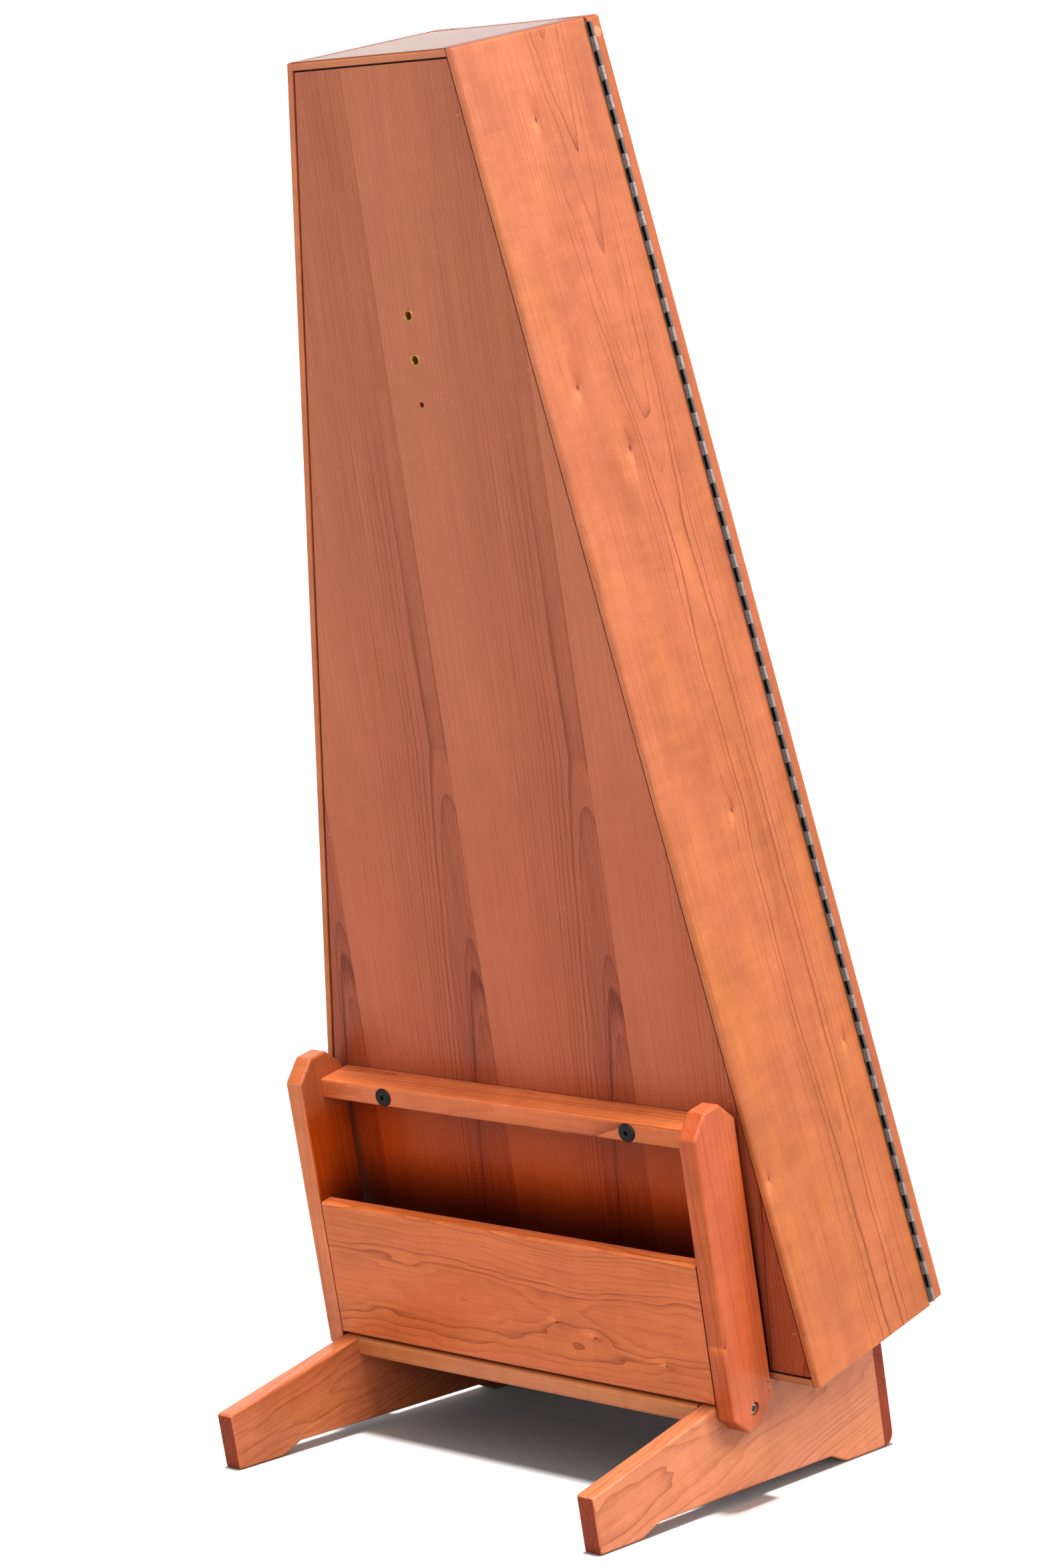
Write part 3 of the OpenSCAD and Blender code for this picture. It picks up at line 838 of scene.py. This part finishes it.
# The top and bottom boards are the same cherry painted darker, as painted shade, so that the
# light's reflection shows on their faces; their narrow faces are painted lighter again.
END_CHERRY = tinted(CHERRY, 0.40, 0.47, 0.6)
for tag, up, z, seed, pith in (("top", 1, CASE_H, 6, (60, -90)), ("bottom", -1, 0, 7, (40, -70))):
    section = rect(-CASE_D, PANEL_FRONT, z - up * BOARD, z)
    piece = solid(cross_bar(section, BOARD), case_softness(2, up, END_R, JOINT_R, JOINT_R))
    lip_section = rect(PANEL_FRONT, 0, z, z - up * LIP)
    lip_piece = solid(cross_bar(lip_section, LIP), lip_softness(up))
    wood = cherry(tag, seed, pith=pith, ring=5, colours=END_CHERRY, edge=0.5,
                  painted_edge_tint=(2.9, 2.5, 2.0), gloss=0.3, coat=0.1)
    board(join([piece, lip_piece]), tag + "_board", "case_" + tag, wood,
          grained((0, 0, z), RIGHT, (0, 0, up)))

outline = trap(LIP + 1.3, CASE_H - LIP - 1.3, LIP + 1.5)
panel = solid(plate(outline, PANEL_FRONT, PANEL_BACK), 0.3, 2)
holes = [rod((0, -24, v), BACK, 40, 4.9) for v in INSERTS]
plain_hole = rod((0, -20, PLAIN_HOLE_V), BACK, 40, 2.25)
cut(panel, *holes, plain_hole)
# Painted sheen: the panel is painted paler higher up; and the painted shade of the album pocket
# darkens it low down between the uprights.
panel_wood = cherry("veneer", 2, pith=(146.5, -30), ring=4.1, taper=0.058, run=(-3000, 560),
                    shift=-2.5, colours=VENEER, figure=0.45, lines=0.8, warp=4.0, burl=1.6,
                    uneven=0.35, quiet=(58, 95), heart=(60.8, 0.06), marks=(61.8, 47.4),
                    leaves=(33, 155.5), hair=(1.8, 0.12), pink=0.22, gloss=0.3, coat=0.12,
                    calm=(450, 900, 0.35), painted_sheen=(150, 950, (1.06, 0.86, 0.77)),
                    shade=[(0, -FOOT_X - 14, FOOT_X + 14), (1, -0.5, 1)])
board(panel, "panel_sheet", "back_panel", panel_wood,
      grained((0, PANEL_BACK, 0), TOP, BACK))


def block(outline, name, node, seed, along):
    """A block behind the panel that holds threaded inserts."""
    piece = solid(plate(outline, BLOCK_FRONT, PANEL_FRONT), 1.5)
    wood = cherry(name, seed, pith=(30, -60), ring=4.2, coat=0.1)
    board(piece, name, node, wood, grained((0, BLOCK_FRONT, 0), along, FRONT))


block(rounded(rect(-38, 38, 842, 972), [4] * 4), "insert_block", "hanger_block", 11, TOP)
block(rect(-185, 185, RAIL_V - 22, RAIL_V + 22), "bolt_cleat", "stand_cleat", 12, RIGHT)

# outside and flange, then a bore with thread-like grooves, from the flange's face inwards
BORE, GROOVE, PITCH = 3.18, 3.5, 1.27
insert_profile = [(BORE, 12.6), (4.75, 12.6), (4.75, 1.2), (5.35, 1.2), (5.5, 1.05), (5.5, 0.2),
                  (5.3, 0), (3.75, 0)]
insert_profile += [(BORE if k % 2 else GROOVE, 0.35 + k * PITCH / 2) for k in range(18)]
for i, v in enumerate(INSERTS):
    here = facing((0, PANEL_BACK + 0.15, v), FRONT)
    piece = lathe(insert_profile, here)
    fitting(piece, f"brass_insert_{i + 1}", BRASS, node="threaded_inserts")
    # a dark disc as painted shade at the floor of the insert's bore
    shade_disc = lathe([(0, 0), (3.4, 0), (3.4, 0.4), (0, 0.4)],
                       facing((0, PANEL_BACK - 12, v), FRONT), 24)
    fitting(shade_disc, f"insert_floor_{i + 1}", PIT)
# a dark disc as painted shade at the floor of the plain hole
pit = lathe([(0, 0), (2.2, 0), (2.2, 0.3), (0, 0.3)],
            facing((0, PANEL_FRONT + 0.2, PLAIN_HOLE_V), FRONT), 24)
fitting(pit, "plain_hole_floor", PIT)

brads = []
for i in range(6):
    for side in (-1, 1):
        v = 48 + 212 * i
        here = facing((side * (half_w(v) - 13.5), PANEL_BACK - 0.4, v), BACK)
        brads.append(lathe([(0, 0), (1.1, 0), (1.1, 0.44), (0.8, 0.5), (0, 0.52)], here, 20))
fitting(join(brads), "filled_brads", PUTTY, node="panel_brads")

# ---- hinge ----

HINGE = CASE @ Matrix.Translation((-FOOT_HALF, HINGE_W, 0)) @ Matrix.Rotation(TAPER, 4, "Y")
SLANT = CASE_H / math.cos(TAPER)
HINGE_START = (SLANT - KNUCKLE * KNUCKLES) / 2


def strip(bm, x0, x1, y0, y1, z0, z1):
    """Adds a box to bm."""
    verts = bmesh.ops.create_cube(bm, size=1)["verts"]
    bmesh.ops.scale(bm, vec=(x1 - x0, y1 - y0, z1 - z0), verts=verts)
    bmesh.ops.translate(bm, vec=((x0 + x1) / 2, (y0 + y1) / 2, (z0 + z1) / 2), verts=verts)


def hinge_leaf(first, face):
    """One leaf with every second knuckle; face is +1 on the case and -1 on the door."""
    leaf_t, tab = 1.05, 0.35
    y0, y1 = (0.2, 0.2 + leaf_t) if face > 0 else (-0.2 - leaf_t, -0.2)
    bm = bmesh.new()
    strip(bm, tab, 13, y0, y1, HINGE_START, HINGE_START + KNUCKLE * KNUCKLES)
    for i in range(first, KNUCKLES, 2):
        z0 = HINGE_START + i * KNUCKLE + 0.15
        z1 = z0 + KNUCKLE - 0.3
        strip(bm, -HINGE_OUT, tab + 0.5, y0 + face * 0.15, y1 + face * 0.15, z0, z1)
        skin(bm, [circle(bm, -HINGE_OUT, z, BARREL_R - less, 24)
                  for z, less in ((z0, 0.4), (z0 + 0.12, 0.1), (z0 + 0.4, 0),
                                  (z1 - 0.4, 0), (z1 - 0.12, 0.1), (z1, 0.4))])
    return mesh_object(bm, HINGE)


HINGE_AXES = axes(*[HINGE.to_3x3().col[i].normalized() for i in range(3)], HINGE.translation)
fitting(hinge_leaf(0, 1), "hinge_leaf_on_case", STEEL, ROOT, "hinge_leaf_case",
        HINGE_AXES)
fitting(hinge_leaf(1, -1), "hinge_leaf_on_door", PAINTED_SHADE_STEEL, DOOR,
        "hinge_leaf_door", HINGE_AXES)

# ---- stand ----

def foot_outline():
    back_foot = standing(FOOT_BACK, floor_v(FOOT_BACK))[0]
    front_foot = standing(APRON_W, floor_v(APRON_W))[0]
    return rounded([standing(FOOT_BACK, 0), standing(APRON_W, 0), (front_foot, 0), (-140, 0),
                    (-116, 9.5), (142, 9.5), (166, 0), (back_foot, 0)],
                   [3, 0, 0, 14, 14, 14, 14, 2.5])


def foot_softness(normal, centre):
    front = standing(APRON_W, -70)[0]
    return JOINT_R if normal.y < -0.9 and centre.y < front + 6 else 2.6


def jointed(radius):
    """Radii for a board whose two end faces meet other boards."""
    return lambda normal, centre: JOINT_R if abs(normal.x) > 0.9 else radius


slope = (0, math.cos(LEAN), -math.sin(LEAN))
for side, tag, seed, knots in ((-1, "left", 21, [(-30, -40, 9)]), (1, "right", 22, [])):
    x0, x1 = sorted((side * (FOOT_X - FOOT_T), side * FOOT_X))
    piece = solid(bar(foot_outline(), x0, x1), foot_softness, matrix=STAND)
    wood = cherry("foot_" + tag, seed, pith=(12 * side, -55), ring=4.6, taper=0.03 * side,
                  burl=9, lines=0.75, crisp=5.0, pink=0.15, knots=knots, colours=FOOT_CHERRY[tag])
    board(piece, tag + "_foot", "foot_" + tag, wood,
          grained((side * FOOT_X, 0, 60), slope, (side, 0, 0), STAND))

apron_front = APRON_W - BOARD
apron_section = rounded([(APRON_W, -3), (APRON_W, floor_v(APRON_W)),
                         (apron_front, floor_v(apron_front)), (apron_front, -3)], [0, 0, 11, 3], 6)
apron = solid(bar(apron_section, -FOOT_X, FOOT_X),
              lambda normal, centre: JOINT_R if normal.y > 0.9 else 2.6)
arch = rounded([(-150, -10), (150, -10), (126, 9.5), (-126, 9.5)], [0, 0, 14, 14])
cut(apron, sharp(plate(arch, -260, -150), STAND))
apron_wood = cherry("apron", 23, pith=(-40, -45), ring=6, taper=0.02, lines=0.7, crisp=4.0,
                    pink=0.1, colours=STAND_CHERRY)
board(apron, "front_apron", "apron_board", apron_wood,
      grained((0, apron_front, -70), RIGHT, FRONT))

shelf = solid(bar(rect(APRON_W, 67, -18, 0), FOOT_T - FOOT_X, FOOT_X - FOOT_T),
              lambda normal, centre: JOINT_R if abs(normal.x) > 0.9 or normal.y < -0.9 else 2.6)
# A little painted light on the shelf's front and back edges.
shelf_wood = cherry("shelf", 24, pith=(60, -50), ring=5, lines=0.6, crisp=4.0, pink=0.05,
                    colours=tinted(CHERRY, 1.15, 1.42, 1.36), edge=0.05)
board(shelf, "stand_shelf", "shelf_board", shelf_wood,
      grained((0, 0, 0), RIGHT, TOP))


def upright_outline():
    c = 19  # the corners' cut
    (w0, w1), (v0, v1) = UPRIGHT_W, UPRIGHT_V
    return rounded([(w0 + c, v0), (w1 - c, v0), (w1, v0 + c), (w1, v1 - c), (w1 - c, v1),
                    (w0 + c, v1), (w0, v1 - c), (w0, v0 + c)], [5] * 8)


# The uprights' narrow faces are painted lighter, or darker on the left one, as painted light and
# shade; their end grain is painted lighter, a painted highlight; their inner faces get the album
# pocket's painted shade.
for side, tag, seed, knots, edge in ((-1, "left", 31, [(28, 60, 7)], -0.03),
                                     (1, "right", 32, [], 0.10)):
    out = side * (FOOT_X + UPRIGHT_T)
    seat = (side * (FOOT_X + UPRIGHT_T - BOLT_SEAT), *UPRIGHT_BOLT)
    x0, x1 = sorted((side * FOOT_X, out))
    piece = solid(bar(upright_outline(), x0, x1), 2.8)
    cut(piece, rod(seat, (side, 0, 0), 10, 6))
    wood = cherry("upright_" + tag, seed, pith=(-34 * side, -20), ring=6, taper=0.04,
                  figure=1.1, knots=knots, lines=0.3, crisp=4.0, pink=0.2, end=-0.1,
                  colours=UPRIGHT_CHERRY[tag], edge=edge,
                  shade=[(1, -UPRIGHT_T - 1, -UPRIGHT_T + 1)])
    board(piece, tag + "_upright", "upright_" + tag, wood,
          grained((out, 36, 0), TOP, (side, 0, 0)))
    head = lathe([(3, -10), (3, 0), (4.6, 0), (5, 0.4), (5, 5.4), (4.4, 6), (0, 6)],
                 facing(seat, (side, 0, 0)), 40)
    cut(head, rod((out - side * 5, *UPRIGHT_BOLT), (side, 0, 0), 8, 2.9, 6))
    fitting(head, f"upright_bolt_{tag}", ZINC, node="upright_bolts")

pits = []
for side in (-1, 1):
    for v in (-4, 4.4):
        here = facing((side * (FOOT_X + UPRIGHT_T - 0.4), 11.8, v), (side, 0, 0))
        pits.append(lathe([(0, 0), (0.95, 0), (0.95, 0.42), (0, 0.46)], here, 16))
fitting(join(pits), "upright_nail_marks", PIT, node="upright_brads")

pocket_front = UPRIGHT_W[1] - BOARD
pocket_back = UPRIGHT_W[1] - 0.5
pocket_foot, pocket_top = 1.6, 133.5
section = rect(pocket_front, pocket_back, pocket_foot, pocket_top)
pocket = solid(bar(section, -FOOT_X, FOOT_X), jointed(3.0))
pocket_wood = cherry("pocket", 41, pith=(-8, -58), ring=3.8, taper=0.010, figure=0.8, warp=9,
                     burl=11, lines=0.55, crisp=4.0, pink=0.2, band=0.16, colours=STAND_CHERRY,
                     knots=[(-12, 50, 9), (-20, 92, 10), (-34, 168, 9)])
board(pocket, "pocket_front", "pocket_board", pocket_wood,
      grained((0, pocket_back, 66), (-1, 0, 0), BACK))

section = rect(PANEL_BACK, RAIL_BACK, RAIL_V - 9.5, RAIL_V + 9.5)
rail = solid(bar(section, -FOOT_X, FOOT_X), jointed(2.8))
# Painted light on the rail's top and bottom faces.
rail_wood = cherry("rail", 42, pith=(4, -30), ring=5, taper=0.03, burl=5, crisp=5.0, pink=0.2,
                   colours=STAND_CHERRY, edge=0.1)
board(rail, "upper_rail", "top_rail", rail_wood,
      grained((0, RAIL_BACK, RAIL_V), (-1, 0, 0), BACK))

for side, tag in ((-1, "left"), (1, "right")):
    here = facing((side * BOLT_X, RAIL_BACK, RAIL_V), BACK)
    head = lathe([(0, -6), (3, -6), (3, -0.1), (8.5, -0.1), (8.5, 0.9), (8.2, 1.35), (7.3, 1.9),
                  (6.2, 2.15), (0, 2.2)], here, 56)
    cut(head, rod((side * BOLT_X, RAIL_BACK + 0.2, RAIL_V), BACK, 6, 2.35, 6))
    fitting(head, f"connector_bolt_{tag}", BLACK, node="rail_bolts")

# ---- door ----

# edge radii: outside and front, the back beside the case, around the glass
FRAME_R, FRAME_BACK_R, SIGHT_R = 4.5, 1.4, 2.0


def rebate_tool():
    outline = trap(DOOR_FOOT + REBATE, CASE_H - REBATE, REBATE)
    return sharp(plate(outline, PANE_FRONT, DOOR_BACK + 5))


def frame_softness(axis, sign, ends):
    """Radii of a door member whose outside face looks along axis, to the side of sign."""
    def softness(normal, centre):
        if normal[axis] * sign > 0.9 or normal.y < -0.9:
            return FRAME_R
        if abs(normal[2 - axis]) > 0.9:
            return ends
        return FRAME_BACK_R if normal.y > 0.9 else SIGHT_R
    return softness


for side, tag, seed in ((-1, "left", 51), (1, "right", 52)):
    piece = solid(side_run(rect(0, MEMBER, DOOR_FRONT, DOOR_BACK), side, DOOR_FOOT, CASE_H),
                  frame_softness(0, side, 3.5))
    cut(piece, rebate_tool())
    wood = cherry("stile_" + tag, seed, pith=(-300 * side, -60), ring=3.2, figure=0.9,
                  lines=0.7, warp=12)
    board(piece, "stile_" + tag, "door_stile_" + tag, wood, side_frame(side),
          DOOR)

for v0, v1, tag, outer, seed in ((CASE_H - MEMBER, CASE_H, "top", 1, 53),
                                 (DOOR_FOOT, DOOR_FOOT + MEMBER, "bottom", -1, 54)):
    piece = solid(cross_bar(rect(DOOR_FRONT, DOOR_BACK, v0, v1), MEMBER),
                  frame_softness(2, outer, JOINT_R))
    cut(piece, rebate_tool())
    # Painted shade on the top and bottom faces of the door's rails.
    board(piece, "frame_rail_" + tag, "door_rail_" + tag,
          cherry("frame_" + tag, seed, pith=(0, -80), ring=4, lines=0.8, edge=-0.35),
          grained((0, DOOR_FRONT, (v0 + v1) / 2), RIGHT, FRONT), DOOR)


low, high = DOOR_FOOT + MEMBER, CASE_H - MEMBER
depths = (PANE_BACK, DOOR_BACK - 1)
upright_bead = rect(REBATE, MEMBER, *depths)
level = grained((0, PANE_BACK, 0), RIGHT, BACK)
beads = (("left", 61, side_run(upright_bead, -1, low, high), side_frame(-1)),
         ("right", 62, side_run(upright_bead, 1, low, high), side_frame(1)),
         ("top", 63, plate(trap(high, high + MEMBER - REBATE, REBATE), *depths), level),
         ("bottom", 64, plate(trap(low + REBATE - MEMBER, low, REBATE), *depths), level))
for tag, seed, rings, grain in beads:
    piece = solid(rings, lambda normal, centre: 1.6 if normal.y > 0.9 else 0.3, 3)
    wood = cherry("bead_" + tag, seed, pith=(200, -60), ring=3, lines=0.6)
    board(piece, "glass_bead_" + tag, "bead_" + tag, wood, grain, DOOR)

inner = MEMBER - 7.5
outline = trap(DOOR_FOOT + inner, CASE_H - inner, inner)
pane = solid(plate(outline, PANE_FRONT + 0.05, PANE_BACK - 0.05), 0.4, 2)
fitting(pane, "glass_pane", GLASS, DOOR, "door_pane",
        grained((0, PANE_BACK, 0), TOP, BACK))

# two dowels through the top corners, cut off with the slanted sides
plugs = []
plug_v = CASE_H - 14.1
for side in (-1, 1):
    plug = lathe([(0, 0), (4.75, 0), (4.75, 40), (0, 40)],
                 facing((side * (half_w(plug_v) + 5), (DOOR_BACK + DOOR_FRONT) / 2, plug_v),
                        (-side, 0, 0)))
    outside = [(0.12 - 20, -230), (-0.12, -230), (-0.12, -150), (-20.12, -150)]
    plugs.append(cut(plug, sharp(side_run(outside, side, plug_v - 30, plug_v + 30))))
fitting(join(plugs), "dowel_plugs", BIRCH, DOOR, "door_dowels",
        grained((0, 0, 0), RIGHT, BACK))

knob_at = (half_w(KNOB_V) - 16, DOOR_FRONT, KNOB_V)
knob_profile = [(0, 0), (8, 0), (8.1, 0.5), (7.9, 1.5), (5.6, 2.6), (4.5, 3.6), (4.05, 5.5),
                (4.0, 8.6), (4.6, 10.2), (6.3, 12), (8.2, 13.7), (9.4, 15.4), (9.9, 17.3),
                (9.7, 19.2), (8.6, 21), (6.4, 22.3), (3.4, 23), (0, 23.2)]
knob = lathe(knob_profile, facing(knob_at, FRONT), 64)
fitting(knob, "brass_knob", BRASS, DOOR, "door_knob")
screw_head = lathe([(0, 0), (4, 0), (4, 1.4), (3.4, 2.2), (2, 2.5), (0, 2.6)],
                   facing((knob_at[0], DOOR_BACK - 2.2, KNOB_V), BACK), 40)
slot_place = CASE @ Matrix.Translation((knob_at[0], DOOR_BACK - 0.7, KNOB_V))
cut(screw_head, sharp(plate(rect(-5, 5, -0.45, 0.45), 0, 2), slot_place))
fitting(screw_head, "knob_screw_head", NICKEL, DOOR, "knob_screw")

for i, v in enumerate(CATCHES):
    strike = lathe([(0, 0), (6.5, 0), (6.5, 1.5), (6.2, 1.8), (2.2, 1.8), (1.4, 1.1), (0, 1.1)],
                   facing((half_w(v) - 10, DOOR_BACK - 1.4, v), BACK), 40)
    fitting(strike, f"strike_plate_{i + 1}", NICKEL, DOOR, "strike_plates")
    magnet = lathe([(0, 0), (5, 0), (5, 6.3), (4.7, 6.6), (0, 6.6)],
                   facing((half_w(v) - CATCH_IN, -CASE_D + 5, v), FRONT), 40)
    fitting(magnet, f"catch_magnet_{i + 1}", NICKEL, node="catch_magnets")
for i, v in enumerate((42, 1120)):
    bumper = lathe([(0, 0), (4, 0), (4, 1.2), (3.6, 1.8), (2.6, 2.1), (0, 2.15)],
                   facing((half_w(v) - CATCH_IN, -CASE_D, v), FRONT), 32)
    fitting(bumper, f"felt_bumper_{i + 1}", FELT, node="door_bumpers")

# ---- CAD nodes that stay as they are, hidden or nearly so ----

KEPT = {"case_dowels": BIRCH, "cleat_inserts": BRASS, "hinge_pin": STEEL,
        "hinge_screws_case": STEEL, "hinge_screws_door": STEEL, "foot_dowels": BIRCH,
        "foot_inserts": BRASS, "pocket_dowels": BIRCH, "rail_dowels": BIRCH}
for node, material in KEPT.items():
    for slot in frame["nodes"][node].material_slots:
        slot.material = material

# ---- floor, light and camera ----

floor_mesh = bpy.data.meshes.new("floor")
floor_bm = bmesh.new()
bmesh.ops.create_grid(floor_bm, x_segments=1, y_segments=1, size=30)
floor_bm.to_mesh(floor_mesh)
floor_bm.free()
floor = linked("floor", floor_mesh)
floor_look = Shade("pale_floor")
floor_look.set(Base_Color=(0.9, 0.9, 0.9), Roughness=0.9)
floor_mesh.materials.append(floor_look.material)


def group(name, *objects):
    """A collection outside the scene, for the lights' lists."""
    collection = bpy.data.collections.new(name)
    for obj in objects:
        collection.objects.link(obj)
    return collection


# The floor has lights of its own, so that it shows one soft shadow; the rest leave it out.
unlit_floor = group("unlit_floor", floor)
unlit_floor.collection_objects[0].light_linking.link_state = "EXCLUDE"


def area_light(name, towards, distance, size, strength):
    """A soft square light in the direction towards, of that strength on a face turned to it."""
    centre = Vector((0, 0, 0.6))
    data = bpy.data.lights.new(name, "AREA")
    data.size = size
    data.energy = strength * (math.pi * distance) ** 2
    light = linked(name, data)
    light.location = centre + Vector(towards).normalized() * distance
    light.rotation_euler = (centre - light.location).to_track_quat("-Z", "Y").to_euler()
    light.light_linking.receiver_collection = unlit_floor


area_light("key", (-0.68, -0.42, 0.54), 8.0, 2.0, 0.53)
area_light("high_key", (-0.62, 0.14, 0.66), 8.0, 2.6, 0.51)
area_light("fill", (-0.42, 1.0, 0.60), 5.0, 3.8, 0.66)
area_light("front", (0.63, -0.66, 0.42), 4.0, 2.4, 0.14)
area_light("low_front", (0.25, -1.0, 0.08), 5.0, 2.6, 0.24)
area_light("edge_glint", (-0.86, 0.50, 0.10), 5.0, 0.7, 0.07)


def sun(name, strength, tilt, spread, lit, colour=(1, 1, 1)):
    """A light from above, tilted and spread by degrees, on the things in lit."""
    data = bpy.data.lights.new(name, "SUN")
    data.energy = strength * math.pi
    data.angle = math.radians(spread)
    data.color = colour
    light = linked(name, data)
    light.rotation_euler = (math.radians(tilt), 0, 0)
    light.light_linking.receiver_collection = lit
    return light


# The floor's own light is only blocked by the stand, so that the shadow stays under it.
STAND_PIECES = ("left_foot", "right_foot", "front_apron", "stand_shelf", "pocket_front",
                "left_upright", "right_upright")
only_floor = group("only_floor", floor)
stand_blocks = group("stand_blocks", *(bpy.data.objects[n] for n in STAND_PIECES))
sun("overhead", 0.80, -8, 9, unlit_floor)
sun("floor_light", 0.80, -8, 6, only_floor).light_linking.blocker_collection = stand_blocks
# A little even light, which nothing on the floor blocks, makes the shadow a neutral grey.
floor_fill = sun("floor_fill", 0.036, 0, 6, only_floor, (0.25, 0.8, 1.0))
floor_fill.light_linking.blocker_collection = only_floor

# white surroundings, bright at the horizon and dimmer above
HORIZON, ABOVE = (0.135, 1.02), (0.34, 0.26)  # (height, strength)
world = bpy.data.worlds.new("studio")
world.use_nodes = True
nodes, link = world.node_tree.nodes, world.node_tree.links.new
place, split, fade = (nodes.new("ShaderNode" + kind)
                      for kind in ("TexCoord", "SeparateXYZ", "MapRange"))
fade.interpolation_type = "SMOOTHSTEP"
for socket, value in zip(fade.inputs[1:], (HORIZON[0], ABOVE[0], HORIZON[1], ABOVE[1])):
    socket.default_value = value
link(place.outputs["Generated"], split.inputs[0])
link(split.outputs[2], fade.inputs[0])
link(fade.outputs[0], nodes["Background"].inputs["Strength"])
nodes["Background"].inputs["Color"].default_value = (1, 1, 1, 1)
scene.world = world
scene.view_settings.view_transform = "Standard"
scene.view_settings.look = "High Contrast"

# the photograph's own viewing angle, from behind the hinge side and a little above
camera_data = bpy.data.cameras.new("camera")
camera_data.lens = 83.27
camera_data.sensor_width = 36
camera = linked("camera", camera_data)
forward = Vector((0.62760, -0.77334, -0.08978))
right = Vector((-0.77662, -0.62997, -0.00248))
camera.matrix_world = axes(right, right.cross(forward), -forward, (0, 0, 0))
camera.location = (-2.014377, 2.520226, 0.907702)
bpy.context.scene.camera = camera
